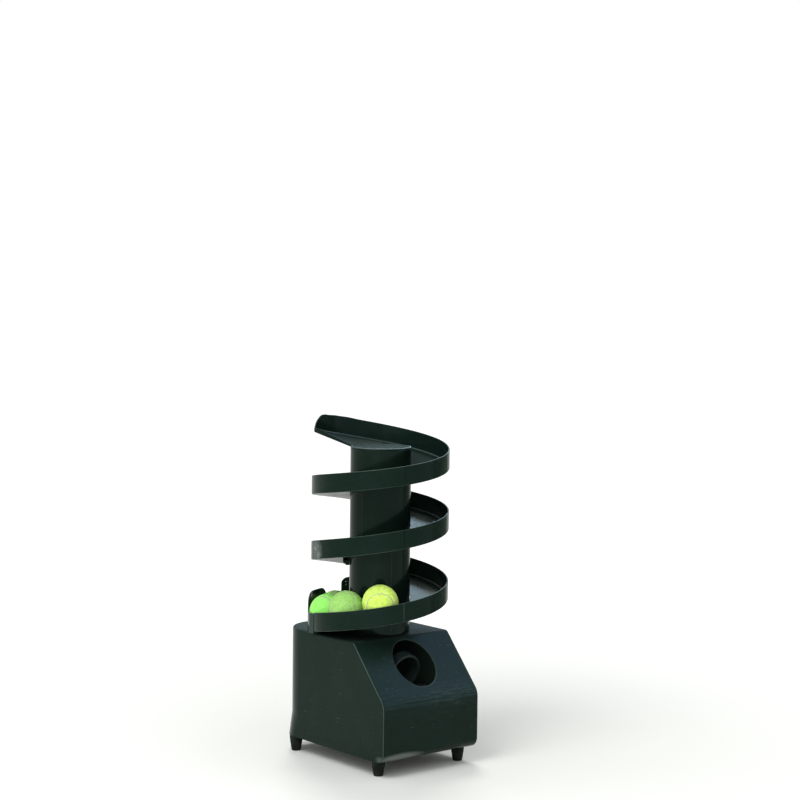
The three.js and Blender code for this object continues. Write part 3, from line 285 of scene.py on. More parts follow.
# %% Floor
floor_mesh = bpy.data.meshes.new("floor")
REACH = 30
floor_corners = [(-REACH, -REACH, 0), (REACH, -REACH, 0), (REACH, REACH, 0), (-REACH, REACH, 0)]
floor_mesh.from_pydata(floor_corners, [], [(0, 1, 2, 3)])
floor = bpy.data.objects.new("floor", floor_mesh)
scene.collection.objects.link(floor)
paper, tree, output, where = material("white_paper")
camera_ray, mirrored = camera_and_mirrored(tree)
shown = maths(tree, "MULTIPLY_ADD", mirrored, 0.1, camera_ray)
away = add(tree, "ShaderNodeVectorMath", {0: where}, operation="LENGTH")
faded = ranged(tree, away.outputs["Value"], 0.3, 1.8, 0.0, 0.45)
lift = maths(tree, "MULTIPLY", shown, faded)
matt = add(tree, "ShaderNodeBsdfDiffuse", {"Color": linear("#e0e2df")})
glow = add(tree, "ShaderNodeEmission", {"Color": (1, 1, 1, 1), "Strength": lift})
both = add(tree, "ShaderNodeAddShader", {0: matt.outputs[0], 1: glow.outputs[0]})
tree.links.new(both.outputs[0], output.inputs["Surface"])
floor_mesh.materials.append(paper)

# %% [markdown]
# A black flag is a card that a photographer stands beside a glossy thing, so that its edge
# mirrors something dark and keeps its own colour. Here one stands to the right, in place of the
# dark surroundings that show in the ramp's right end. Only reflections see it, so it casts no
# shadow.

# %% Flag
FLAG = {"azimuth": math.radians(-11), "away": 1.3, "half_width": 0.62, "low": 0.001, "top": 0.95}
flag_out = Vector((math.cos(FLAG["azimuth"]), math.sin(FLAG["azimuth"]), 0))
flag_along = Vector((-flag_out.y, flag_out.x, 0))
flag_corners = []
for side, z in ((-1, FLAG["low"]), (1, FLAG["low"]), (1, FLAG["top"]), (-1, FLAG["top"])):
    across = flag_along * side * FLAG["half_width"]
    flag_corners.append(flag_out * FLAG["away"] + across + Vector((0, 0, z)))
flag_mesh = bpy.data.meshes.new("flag")
flag_mesh.from_pydata(flag_corners, [], [(0, 1, 2, 3)])
flag = bpy.data.objects.new("flag", flag_mesh)
scene.collection.objects.link(flag)
felted, tree, output, where = material("dark_flag_cloth")
weave = mottle(tree, where, 120, 2.0)
cloth = blend(tree, weave, "#6d8273", "#9caf9f")
matt = add(tree, "ShaderNodeBsdfDiffuse", {"Color": cloth})
tree.links.new(matt.outputs[0], output.inputs["Surface"])
flag_mesh.materials.append(felted)
for kind in ("camera", "diffuse", "shadow", "transmission"):
    setattr(flag, f"visible_{kind}", False)

# %% [markdown]
# ## Gloss ABS for the case, column and ramp
# The shell is ABS, injection moulded in a polished tool and coloured black through. To the eye
# that is a deep colour with a clear sheen on top: the colour is nearly flat, and what shows is
# how the surface bends the reflection. Three patterns do that: the slow waviness of a moulded
# wall (40 mm), the fine orange peel of the skin (2 mm) and handling scratches. Real scratches
# are 0.05 mm wide; they are drawn 0.6 mm wide so that they show. Dust and scuffs are paler and
# duller, collect in patches, and lie thickest on faces that look up.
#
# Some places are rubbed by name: the slope below the throw hole, and the ramp's left end, which
# hands catch. At the foot of the front the same pale streaks are a painted reflection of the lit
# floor. The front's bend has long shallow waves, as plastic gets where it cools last. The
# hollow's faces come off an unpolished core, so they are duller. Their paler colour is painted
# light, for the light that comes in through the openings.

# %% ABS


def patch_of(tree, where, centre, reach):
    """One in the middle of a place on the piece and nothing past its reach, both in mm."""
    off = add(tree, "ShaderNodeVectorMath", {0: where, 1: mm(*centre)}, operation="SUBTRACT")
    scale = [per(r) for r in reach]
    shares = add(tree, "ShaderNodeVectorMath", {0: off.outputs[0], 1: scale}, operation="MULTIPLY")
    away = add(tree, "ShaderNodeVectorMath", {0: shares.outputs[0]}, operation="LENGTH")
    return ranged(tree, away.outputs["Value"], 0.45, 1.0, 1.0, 0.0)


def scratches(tree, where):
    """Fine lines that run two ways, where cloths and balls have passed."""
    drawn = stretched(tree, where, (0.05, 1.0, 1.0), (0.5, 0.3, 0.9))
    lines = mottle(tree, drawn, 0.9, 2.0, distortion=0.4)
    crossed = stretched(tree, where, (1.0, 0.06, 1.0), (0.2, 1.1, -0.6))
    marks = mottle(tree, crossed, 1.3, 2.0, distortion=0.3)
    return ranged(tree, maths(tree, "MAXIMUM", lines, marks), 0.7, 0.8)


def wear_and_reflection(tree, where, cloud, scratched, settled, scuffs, rubs_and_reflections, strokes):
    """How pale each spot is: wear, and at the front's foot a painted reflection. Places are (centre, reach,
    strength, how even).
    """
    patch = ranged(tree, cloud, 0.56, 0.78, 0.05, 1.0)
    specks = ranged(tree, mottle(tree, where, 1.6, 3.0, roughness=0.7), 0.6, 0.74)
    spots = maths(tree, "MULTIPLY", patch, specks)
    paler = maths(tree, "MAXIMUM", spots, scratched)
    level = ranged(tree, settled, 0.0, 1.0, scuffs, scuffs * 2)
    amount = maths(tree, "MULTIPLY", paler, level)
    rasped = stretched(tree, where, strokes, (0.15, 0.1, 0.1))
    streaked = ranged(tree, mottle(tree, rasped, 2.6, 4.0, roughness=0.7, distortion=0.6), 0.5, 0.68)
    for centre, reach, strength, even in rubs_and_reflections:
        hazed = maths(tree, "MAXIMUM", streaked, even)
        rub_and_reflection = maths(tree, "MULTIPLY", hazed, patch_of(tree, where, centre, reach))
        amount = maths(tree, "MULTIPLY_ADD", rub_and_reflection, strength, amount)
    return amount


def cooling_waves(tree, where, sides, bend, under):
    """Long waves over a bend, on the faces that look forward only."""
    pulled = stretched(tree, where, (0.02, 1.0, 1.0))
    draw = mottle(tree, pulled, 6, 3.0, roughness=0.65)
    front = ranged(tree, maths(tree, "ABSOLUTE", sides), 0.1, 0.4, 1.0, 0.0)
    bent = maths(tree, "MULTIPLY", patch_of(tree, where, *bend), front)
    return raised_by(tree, maths(tree, "MULTIPLY", draw, bent), 0.8, 2.5, under)


def gloss_abs(name, colours, roughness, dusty, scuff_colour, scuffs, shine=0.1,
              rubs_and_reflections=(), strokes=(1.0, 1.0, 0.22), bend=None):
    """Moulded ABS. Dusty is the roughness of the faces that look up."""
    made, tree, output, where = material(name)
    facing = add(tree, "ShaderNodeTexCoord").outputs["Normal"]
    sides, _, upwards = add(tree, "ShaderNodeSeparateXYZ", {0: facing}).outputs
    cloud = mottle(tree, where, 28, 6.0, roughness=0.68)
    scratched = scratches(tree, where)
    settled = ranged(tree, upwards, 0.5, 0.98)
    amount = wear_and_reflection(tree, where, cloud, scratched, settled, scuffs, rubs_and_reflections, strokes)
    body = blend(tree, mottle(tree, where, 55, 3.0, roughness=0.55), *colours)
    base = ranged(tree, cloud, 0.3, 0.7, roughness - 0.03, roughness + 0.05)
    hazy = maths(tree, "MULTIPLY_ADD", settled, dusty - roughness, base)
    skin_normal = raised_by(tree, mottle(tree, where, 40, 1.0), 0.4, 1.2)
    if bend:
        skin_normal = cooling_waves(tree, where, sides, bend, skin_normal)
    skin_normal = raised_by(tree, mottle(tree, where, 2.0, 2.0), 0.15, 0.03, skin_normal)
    surface(tree, output, {
        "Base Color": blend(tree, amount, body, scuff_colour),
        "Roughness": maths(tree, "MULTIPLY_ADD", amount, 0.5, hazy), "IOR": 1.5,
        # The specular tint paints the reflections pale green-blue, a painted reflection colour for green
        # surroundings.
        "Specular IOR Level": shine, "Specular Tint": linear("#d8fff4"),
        "Normal": raised_by(tree, scratched, 0.3, 0.04, skin_normal),
    })
    return made


BLACK_GREEN = ("#0d1914", "#13231d")
# The front's foot gets a pale streaky patch that is a painted reflection of the lit floor in the rounded
# bottom.
FRONT_FOOT_PAINTED_REFLECTION = ((-72, -163, 36), (62, 30, 11), 0.55, 0.7)
UNDER_THROW_HOLE = ((60, -160, 136), (90, 40, 24), 0.09, 0.0)
ROOF = ((0, 0, 240), (160, 220, 6), 0.06, 0.3)
RAMP_LEFT_END = ((-127, 24, 401), (16, 24, 26), 1.3, 0.15)
LANDING_TOP = ((0, 0, 594), (140, 140, 9), 0.12, 0.1)
FRONT_BEND = ((0, -160, 128), (300, 50, 36))

abs_case = gloss_abs(
    "gloss_abs_case", BLACK_GREEN, 0.13, 0.75, "#98a19d", 0.25,
    rubs_and_reflections=[FRONT_FOOT_PAINTED_REFLECTION, UNDER_THROW_HOLE, ROOF], strokes=(0.12, 1.0, 1.0), bend=FRONT_BEND,
)
abs_ramp = gloss_abs("gloss_abs_ramp", BLACK_GREEN, 0.13, 0.24, "#9aa39f", 0.2, rubs_and_reflections=[RAMP_LEFT_END])
abs_landing = gloss_abs(
    "gloss_abs_landing", ("#0c1815", "#12221d"), 0.13, 0.85, "#8b948f", 0.22, rubs_and_reflections=[LANDING_TOP],
)
# The hollow's colour is painted paler than the black outside. That is painted light, for the light that
# comes in through the openings.
abs_inside_painted_lighter = gloss_abs(
    "abs_unpolished_inside_painted_lighter", ("#3c4f46", "#4b5f55"), 0.5, 0.55, "#78857e", 0.15, shine=0.4,
)
abs_column = gloss_abs(
    "gloss_abs_column", ("#0d1813", "#14221c"), 0.12, 0.3, "#55605a", 0.2, shine=0.15,
)
# Paler finish for rims, edges, fillets and butt joints. It is partly wear and partly a painted highlight
# line along them.
wear_and_painted_highlight = gloss_abs("abs_wear_and_painted_highlight", ("#1c2824", "#46544f"), 0.3, 0.4, "#8b948f", 0.6)
parting_line = gloss_abs("abs_parting_line", ("#22302a", "#34423c"), 0.25, 0.4, "#8b948f", 0.3)

# %% [markdown]
# ## Metals
# Screws and brackets are zinc-plated steel, a pale grey that is blotchy where the plating's
# crystals differ. Shafts and rivets are ground bright along their length, springs are oil
# tempered wire, and the bushes are turned brass. A metal has no colour under its shine, so the
# grain that its making left has to show in the roughness.

# %% Metals


def plated(name, pale, dark, roughness, grain_size, stretch):
    """A metal whose shine varies with the grain that its making left."""
    made, tree, output, where = material(name)
    grain = mottle(tree, stretched(tree, where, stretch), grain_size, 4.0)
    crystals = add(tree, "ShaderNodeTexVoronoi", {"Vector": where, "Scale": per(7)}).outputs["Distance"]
    mottled = maths(tree, "MULTIPLY_ADD", crystals, 0.3, maths(tree, "MULTIPLY", grain, 0.7))
    surface(tree, output, {
        "Base Color": blend(tree, mottled, dark, pale), "Metallic": 1.0,
        "Roughness": ranged(tree, grain, 0.0, 1.0, roughness - 0.08, roughness + 0.12),
        "Normal": raised_by(tree, grain, 0.3, 0.05),
    })
    return made


zinc = plated("zinc_plated_steel", "#c3c6c8", "#9a9ea1", 0.36, 1.5, (1, 1, 1))
bright_steel = plated("ground_steel_rod", "#c9cbcc", "#a4a6a8", 0.24, 0.6, (0.05, 1, 1))
spring_steel = plated("spring_steel_wire", "#8d9092", "#6c6f72", 0.33, 0.8, (1, 1, 1))
brass = plated("turned_brass", "#d3b46a", "#b08f45", 0.28, 0.7, (0.1, 1, 1))

# %% [markdown]
# ## Solid pieces from rings
# Most pieces here are one outline carried along a path: round the column, along the case, or
# turned about an axis. So one function skins a list of rings, another rounds the corners of an
# outline as a mould maker would, and a third turns the result into a piece that rides on its
# body and stands for its CAD node. Rounding in the outline gives cleaner highlights than a
# bevel that is added later.

# %% Outline with rounded corners


def rounded(corners, steps=4):
    """Corners are (across, up, radius). Each gives steps + 1 points, so rings match."""
    points = []
    count = len(corners)
    for i, (x, z, radius) in enumerate(corners):
        here = Vector((x, z))
        back = Vector(corners[i - 1][:2]) - here
        ahead = Vector(corners[(i + 1) % count][:2]) - here
        half = back.angle(ahead) / 2
        reach = min(radius / math.tan(half), back.length * 0.48, ahead.length * 0.48)
        start, end = here + back.normalized() * reach, here + ahead.normalized() * reach
        size = reach * math.tan(half)
        centre = here + (back.normalized() + ahead.normalized()).normalized() * size / math.sin(half)
        first = math.atan2(start.y - centre.y, start.x - centre.x)
        sweep = math.atan2(end.y - centre.y, end.x - centre.x) - first
        sweep = (sweep + math.pi) % (2 * math.pi) - math.pi
        for k in range(steps + 1):
            angle = first + sweep * k / steps
            points.append((centre.x + size * math.cos(angle), centre.y + size * math.sin(angle)))
    return points


def shrunk(points, distance):
    """The same outline moved inwards, for the first and last ring of a rounded end."""
    count = len(points)
    area = sum(points[i - 1][0] * points[i][1] - points[i][0] * points[i - 1][1] for i in range(count))
    side = 1 if area > 0 else -1
    moved = []
    for i, (x, z) in enumerate(points):
        along = Vector(points[(i + 1) % count]) - Vector(points[i - 1])
        normal = Vector((-along.y, along.x)).normalized() * side
        moved.append((x + normal.x * distance, z + normal.y * distance))
    return moved


# %% Skin through rings


def skin(rings, start=True, end=True, loop=False, paler=()):
    """Points and faces of a tube through rings of equal length. Strips listed as paler get the second
    finish, for wear and painted highlight lines.
    """
    size = len(rings[0])
    points = [point for ring in rings for point in ring]
    faces, marks = [], []
    for r in range(len(rings) if loop else len(rings) - 1):
        after = (r + 1) % len(rings)
        for i in range(size):
            j = (i + 1) % size
            faces.append((r * size + i, r * size + j, after * size + j, after * size + i))
            marks.append(1 if i in paler else 0)
    if start and not loop:
        faces.append(tuple(range(size))[::-1])
    if end and not loop:
        faces.append(tuple((len(rings) - 1) * size + i for i in range(size)))
    return points, faces, marks + [0] * (len(faces) - len(marks))


def turned(profile, sides, centre=(0, 0), paler=()):
    """A profile of (radius, height) in mm, turned about an upright axis at centre."""
    rings = []
    for i in range(sides):
        angle = 2 * math.pi * i / sides
        across, along = math.cos(angle), math.sin(angle)
        rings.append([mm(centre[0] + r * across, centre[1] + r * along, z) for r, z in profile])
    return skin(rings, loop=True, paler=paler)


# %% Mesh, piece and edges


def built(name, parts):
    """One mesh object from several closed skins, with its faces turned outwards."""
    shape = bmesh.new()
    for points, faces, marks in parts:
        made = [shape.verts.new(point) for point in points]
        for face, mark in zip(faces, marks):
            corners = [made[i] for i in face]
            if len({tuple(v.co) for v in corners}) > 2:
                shape.faces.new(corners).material_index = mark
    bmesh.ops.remove_doubles(shape, verts=shape.verts[:], dist=1e-7)
    bmesh.ops.recalc_face_normals(shape, faces=shape.faces[:])
    mesh = bpy.data.meshes.new(name)
    shape.to_mesh(mesh)
    shape.free()
    made = bpy.data.objects.new(name, mesh)
    scene.collection.objects.link(made)
    return made


def piece(made, finish, body, replaced=(), smooth=32, weighted=True, others=()):
    """Gives a built object its finish, its shading, the body it rides on and what it stands for.

    Faces marked 1 or 2 take the first or second of the other finishes.
    """
    marks = [face.material_index if others else 0 for face in made.data.polygons]
    made.data.materials.clear()
    for each in (finish, *others):
        made.data.materials.append(each)
    made.data.polygons.foreach_set("material_index", marks)
    made.data.shade_smooth()
    made.data.set_sharp_from_angle(angle=math.radians(smooth))
    if weighted:
        even = made.modifiers.new("even_shading", "WEIGHTED_NORMAL")
        even.keep_sharp = True
    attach(made, body)
    if replaced:
        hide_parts(*replaced)
    return made


def baked(made):
    """Makes an object's modifiers part of its mesh."""
    graph = bpy.context.evaluated_depsgraph_get()
    mesh = bpy.data.meshes.new_from_object(made.evaluated_get(graph))
    made.modifiers.clear()
    made.data = mesh
    return made


def carved(made, cutters, operation="DIFFERENCE"):
    for cutter in cutters:
        carve = made.modifiers.new("carve", "BOOLEAN")
        carve.operation = operation
        carve.solver = "EXACT"
        carve.object = cutter
    baked(made)
    for cutter in cutters:
        bpy.data.objects.remove(cutter)
    return made


def eased(made, chosen, width, segments=2, paler=False):
    """Rounds the edges that chosen() picks, by their middle point in mm and their fold angle."""
    shape = bmesh.new()
    shape.from_mesh(made.data)
    bmesh.ops.dissolve_degenerate(shape, dist=1e-6, edges=shape.edges[:])
    picked = []
    for edge in shape.edges:
        if len(edge.link_faces) == 2:
            middle = (edge.verts[0].co + edge.verts[1].co) / 2 / MM
            if chosen(middle, edge.calc_face_angle(0)):
                picked.append(edge)
    rounding = bmesh.ops.bevel(
        shape, geom=picked, offset=width * MM, segments=segments,
        profile=0.5, affect="EDGES", clamp_overlap=True,
    )
    # The rounding can take the paler finish, a painted highlight line with some wear.
    if paler:
        for face in rounding["faces"]:
            face.material_index = 1
    shape.to_mesh(made.data)
    shape.free()
    return len(picked)


# %% [markdown]
# ## Case shell
# The case is one moulding, 3 mm thick and open below: flat sides, a sloped front and large
# round rear corners. It could be a box with bevels, but the corner radius changes with height
# and the roof edge runs into it. So the shell is sliced across its width, each slice being the
# side profile, drawn in by the edge rounding near the sides and by the corner arc at the back.
# The hollow is the same skin 3 mm further in, and the openings are cut as in a real tool.
# A narrow strip along the long side edges and round the throw hole takes the paler finish:
# partly wear from hands and car boots, partly a painted highlight line along those edges.

# %% Case slices
low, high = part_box("housing_shell")
CASE = {
    "half": high.x / MM, "front": low.y / MM, "rear": high.y / MM, "low": low.z / MM, "top": 240.0,
    "slope_top": low.y / MM + 92, "slope_foot": 137.0, "wall": 3.0, "edge": 4.0, "low_edge": 1.2,
    "inner_edge": 1.0, "inner_low_edge": 0.4, "corner_foot": 54.0, "corner_growth": 14.0, "corner_top": 75.0,
}


def corner_radius(z):
    """The rear corners grow rounder from the foot up to 75 mm."""
    share = min(max((z - CASE["low"]) / (CASE["corner_top"] - CASE["low"]), 0), 1)
    return CASE["corner_foot"] + CASE["corner_growth"] * share


def slice_of_case(x, wall, edge, low_edge):
    """The side profile at x, as points from the rear up, over the roof and down the front."""
    half, front, rear = CASE["half"] - wall, CASE["front"] + wall, CASE["rear"] - wall
    bottom, top = CASE["low"] + wall, CASE["top"] - wall
    in_from_side = max(half - abs(x), 0)

    def drawn_in(size):
        return size - math.sqrt(max(size ** 2 - max(size - in_from_side, 0) ** 2, 0))

    def back_at(z, extra=0):
        radius = corner_radius(z) - wall
        past = abs(x) - (half - radius)
        if past <= 0:
            return rear - extra
        return rear - radius + math.sqrt(max((radius - extra) ** 2 - past ** 2, 0))

    inset, low_inset = drawn_in(edge), drawn_in(low_edge)
    points = [(back_at(z), z) for z in [bottom + low_inset, 34, 42, 52, 64, 75, 120, 180, top - edge]]
    last = math.asin(1 - inset / edge)
    for k in range(1, 8):
        angle = last * k / 7
        points.append((back_at(top, edge * (1 - math.cos(angle))), top - edge + edge * math.sin(angle)))
    profile = [
        (front + 30, top), (CASE["slope_top"], CASE["top"]), (CASE["front"], CASE["slope_foot"]),
        (CASE["front"], CASE["low"]), (0, CASE["low"]),
    ]
    radii = {1: 8, 2: 30, 3: 20}
    for i in (1, 2, 3):
        here = Vector(profile[i])
        back = (Vector((rear, CASE["top"])) if i == 1 else Vector(profile[i - 1])) - here
        ahead = Vector(profile[i + 1]) - here
        half_angle = back.angle(ahead) / 2
        inwards = (back.normalized() + ahead.normalized()).normalized()
        centre = here + inwards * radii[i] / math.sin(half_angle)
        start = here + back.normalized() * radii[i] / math.tan(half_angle) - centre
        end = here + ahead.normalized() * radii[i] / math.tan(half_angle) - centre
        first = math.atan2(start.y, start.x)
        sweep = (math.atan2(end.y, end.x) - first) % (2 * math.pi)
        count = 12 if i > 1 else 8
        for k in range(count + 1):
            angle = first + sweep * k / count
            across, down = math.cos(angle), math.sin(angle)
            drop = low_inset if down < 0 else inset
            y = centre.x + across * (radii[i] - wall - inset)
            points.append((y, centre.y + down * (radii[i] - wall - drop)))
    return [mm(x, y, z) for y, z in points]


# %% Case skins


def case_stations(wall, edge):
    """Where the slices lie across the width: close together where a side or corner curves."""
    half = CASE["half"] - wall
    radius = corner_radius(CASE["top"]) - wall
    inwards = [edge * (1 - math.cos(math.radians(15 * k))) for k in range(7)]
    first = math.degrees(math.acos((radius - edge) / radius))
    steps = 16
    for k in range(1, steps + 1):
        angle = math.radians(first + (90 - first) * k / steps)
        inwards.append(radius * (1 - math.cos(angle)))
    right_side = [half - d for d in inwards]
    return right_side + [0.0] + [-x for x in reversed(right_side)]


EDGE_STATIONS = (2, 3)
SLOPE_TO_FOOT = range(20, 44)


def side_edges_wear_and_highlight(stations, size, marks):
    """Marks the middle of the two side edges, from the slope's top down to the front's foot, for the paler
    finish of wear and a painted edge highlight.
    """
    for near in EDGE_STATIONS:
        for station in (near, stations - 2 - near):
            for i in SLOPE_TO_FOOT:
                marks[station * size + i] = 1


rings = [slice_of_case(x, 0, CASE["edge"], CASE["low_edge"]) for x in case_stations(0, CASE["edge"])]
points, faces, marks = skin(rings)
side_edges_wear_and_highlight(len(rings), len(rings[0]), marks)
outer = built("case_shell", [(points, faces, marks)])
for finish in (abs_case, wear_and_painted_highlight, abs_inside_painted_lighter):
    outer.data.materials.append(finish)
edges = (CASE["inner_edge"], CASE["inner_low_edge"])
inner_stations = case_stations(CASE["wall"], CASE["inner_edge"])
points, faces, marks = skin([slice_of_case(x, CASE["wall"], *edges) for x in inner_stations])
hollow = built("case_hollow", [(points, faces, [2] * len(faces))])
print("case skin:", len(outer.data.polygons), "faces; hollow:", len(hollow.data.polygons))

# %% Case openings
THROW = {"radius": 45.0, "y": CASE["slope_top"] - 39.97, "z": 195.25, "rise": math.radians(14)}
INLET = {"radius": 38.0, "x": 41.9, "y": 76.89}
PANEL = {"half": 44.0, "low": 48.0, "top": 222.0, "gap": 0.3}


def disc(radius, sides, centre, axis, depth):
    """A straight round tool through centre along axis."""
    axis = Vector(axis).normalized()
    across = axis.orthogonal().normalized()
    other = axis.cross(across)
    rings = []
    for end in (-depth, depth):
        ring = []
        for i in range(sides):
            angle = 2 * math.pi * i / sides
            out = across * math.cos(angle) + other * math.sin(angle)
            ring.append((Vector(centre) + axis * end + out * radius) * MM)
        rings.append(ring)
    return skin(rings)


def brick(x0, x1, y0, y1, z0, z1, radius=0.01, steps=2):
    """A block that runs along Y, with the corners of its XZ outline rounded."""
    outline = rounded([(x0, z0, radius), (x1, z0, radius), (x1, z1, radius), (x0, z1, radius)], steps)
    return skin([[mm(x, y, z) for x, z in outline] for y in (y0, y1)])


def slab(outline, z0, z1):
    """An upright block on an XY outline."""
    return skin([[mm(x, y, z) for x, y in outline] for z in (z0, z1)])


lip = CASE["front"] + 26
mouth_half, mouth_rear, mouth_radius = CASE["half"] - 3, CASE["rear"] - 3, 51
mouth = rounded([
    (-mouth_half, lip, 1), (mouth_half, lip, 1),
    (mouth_half, mouth_rear, mouth_radius), (-mouth_half, mouth_rear, mouth_radius),
], 16)
bay_half = PANEL["half"] + PANEL["gap"]
bay_low, bay_top = PANEL["low"] - PANEL["gap"], PANEL["top"] + PANEL["gap"]
bay = brick(-bay_half, bay_half, CASE["rear"] - 5, CASE["rear"] + 2, bay_low, bay_top, 2.3, 4)
throw_axis = (0, -math.cos(THROW["rise"]), math.sin(THROW["rise"]))
tools = [
    hollow,
    built("mouth", [slab(mouth, 26, 32.6)]),
    built("throw_bore", [disc(THROW["radius"], 96, (0, THROW["y"], THROW["z"]), throw_axis, 36)]),
    built("inlet_bore", [disc(INLET["radius"], 72, (INLET["x"], INLET["y"], 239), (0, 0, 1), 6)]),
    built("panel_bay", [bay]),
]
shell = carved(outer, tools)


SHARP = math.radians(35)
NEAR = 0.3


def throw_rim(middle, fold):
    offset = middle - Vector((0, THROW["y"], THROW["z"]))
    axis = Vector(throw_axis)
    from_throw = (offset - axis * offset.dot(axis)).length
    on_slope = fold > SHARP and middle.y < CASE["slope_top"]
    return on_slope and abs(from_throw - THROW["radius"]) < NEAR


def rim(middle, fold):
    """The rims of the inlet and of the panel's bay."""
    if fold < SHARP:
        return False
    from_inlet = math.hypot(middle.x - INLET["x"], middle.y - INLET["y"])
    if middle.z > CASE["top"] - 4 and abs(from_inlet - INLET["radius"]) < NEAR:
        return True
    in_bay = abs(middle.x) < PANEL["half"] + 0.5 and PANEL["low"] - 0.5 < middle.z < PANEL["top"] + 0.5
    return in_bay and middle.y > CASE["rear"] - 0.2


# The throw hole's rounded rim takes the paler finish, a painted highlight line with some wear.
print("rims eased:", eased(shell, throw_rim, 1.3, 4, paler=True), eased(shell, rim, 0.7, 3))

# %% [markdown]
# ## Inside the shell
# Four screw bosses stand on the base plate and a short collar on the roof centres the column.
# They are round posts with a small draft, joined to the side walls by a rib. They are hardly
# seen, but they are what the screws and the column really hold on to.

# %% Bosses and collar
PLATE_TOP = 32.3
BOSS = {"x": 104.0, "y": (-60.136, 59.864), "rib_half": 1.5, "rib_top": 58}
post = [(2.1, PLATE_TOP), (5.0, PLATE_TOP), (4.6, 60.0), (4.3, 60.3), (2.4, 60.3), (2.1, 60.0)]
inner_parts = []
for side in (-1, 1):
    for y in BOSS["y"]:
        inner_parts.append(turned(post, 24, (side * BOSS["x"], y)))
        near, far = y - BOSS["rib_half"], y + BOSS["rib_half"]
        rib = ((108, near), (112.5, near), (112.5, far), (108, far))
        rib_outline = rounded([(side * x, edge, 0.3) for x, edge in rib], 2)
        inner_parts.append(slab(rib_outline, PLATE_TOP, BOSS["rib_top"]))
collar = [(51.7, 239.0), (54.7, 239.0), (54.7, 249.0), (54.0, 250.0), (52.4, 250.0), (51.7, 249.4)]
inner_parts.append(turned(collar, 96, (AXIS_X, AXIS_Y)))
for side in (-1, 1):
    for z in (55, 215):
        x0, x1 = sorted((side * 28.5, side * 53.0))
        inner_parts.append(brick(x0, x1, CASE["rear"] - 7.3, CASE["rear"] - 3.3, z - 8, z + 8, 1.0))
inner = built("case_bosses", inner_parts)
shell_mesh = bmesh.new()
shell_mesh.from_mesh(shell.data)
shell_mesh.from_mesh(inner.data)
shell_mesh.to_mesh(shell.data)
shell_mesh.free()
bpy.data.objects.remove(inner)
case_finishes = [wear_and_painted_highlight, abs_inside_painted_lighter]
piece(shell, abs_case, "machine", ["housing_shell"], smooth=28, others=case_finishes)
print("case shell:", len(shell.data.polygons), "faces")

# %% [markdown]
# ## Column
# Three lengths of moulded tube stand on each other, each with a spigot in the one below. The
# tool closes along two lines, and leaves a faint raised seam down each tube, a quarter of a
# millimetre proud. The rims are eased, so every joint shows as a thin groove.

# %% Column tubes
COLUMN = {"radius": 58.0, "bore": 55.0, "seam_height": 0.22, "seam_half": 0.5}


def tube_with_seams(low_z, high_z, seams, foot):
    """A tube from low_z to high_z. Seams are angles in degrees where the tool closes."""
    angles = [2 * math.pi * i / 120 for i in range(120)]
    for seam in seams:
        steps = (-0.75, -COLUMN["seam_half"], COLUMN["seam_half"], 0.75)
        angles += [math.radians(seam + d) % (2 * math.pi) for d in steps]
    outline = rounded([
        (COLUMN["bore"], low_z, 0.5), (COLUMN["radius"], low_z, 0.8),
        (COLUMN["radius"], high_z, 0.8), (COLUMN["bore"], high_z, 0.5),
    ], 3)
    rings, ridges = [], []
    for angle in sorted(angles):
        ridge = 0.0
        for seam in seams:
            off = abs((math.degrees(angle) - seam + 180) % 360 - 180)
            ridge = max(ridge, COLUMN["seam_height"] if off < COLUMN["seam_half"] + 0.01 else 0)
        ring = []
        for radius, z in outline:
            grow = ridge if radius > COLUMN["radius"] - 0.7 and low_z + 1 < z + 1.2 else 0
            reach = min(radius + grow - COLUMN["seam_height"], COLUMN["radius"])
            ring.append(mm(AXIS_X + reach * math.cos(angle), AXIS_Y + reach * math.sin(angle), z))
        rings.append(ring)
        ridges.append(ridge > 0)
    points, faces, marks = skin(rings, loop=True)
    size = len(outline)
    for i in range(len(rings)):
        if ridges[i] and ridges[(i + 1) % len(rings)]:
            marks[i * size:(i + 1) * size] = [1] * size
    parts = [(points, faces, marks)]
    if foot:
        spigot = [
            (51.7, low_z - 10), (54.4, low_z - 10), (54.7, low_z - 9.5),
            (54.7, low_z + 1), (51.7, low_z + 1),
        ]
        parts.append(turned(spigot, 96, (AXIS_X, AXIS_Y)))
    return parts


TUBES = {"lower": (240.3, 408.0, False), "middle": (408.3, 525.0, True), "upper": (525.3, 590.2, True)}
SEAMS = {"lower": (-105.75, 74.25), "middle": (-165.75, 14.25), "upper": (14.25, 74.25)}
for name, (low_z, high_z, foot) in TUBES.items():
    tube = built(f"column_tube_{name}", tube_with_seams(low_z, high_z, SEAMS[name], foot))
    piece(tube, abs_column, "machine", [f"column_{name}"], others=[parting_line])

# %% [markdown]
# ## Spiral ramp
# The ramp is a channel with one outer wall, made in lengths of half a turn that butt together.
# A screw modifier could sweep it, but its pitch isn't even: the real one drops faster near the
# foot. So its height is a smooth curve through measured points, one each half turn, and the
# channel's outline is carried along it. The outline has a rounded rim, a moulded fillet between
# wall and floor, and eased ends, so that each butt joint shows as a fine line. The first length
# is the landing: its wall grows out of the floor's edge, and its floor leans up to the column's
# cap and dips just under the cap's plate, so that no two faces lie in one plane.

# %% Ramp height
RAMP = {
    "inner": 58.3, "outer": 130.75, "channel": 128.25, "floor": 3.0, "height": 36.0, "zero": 141.25,
    "heights": [662, 589.4, 536, 473.8, 411.2, 340.2, 274.1, 212],
    "start": -0.9675, "full": -0.918, "landing_end": -0.745, "seam": -0.306, "end": 1.9497,
    "gap": 0.0008, "rim": 1.1, "low_edge": 2.2, "fillet": 3.5,
}
CAP = {"low": 590.5, "top": 593.5, "bore": 50.0, "dip": 0.8}


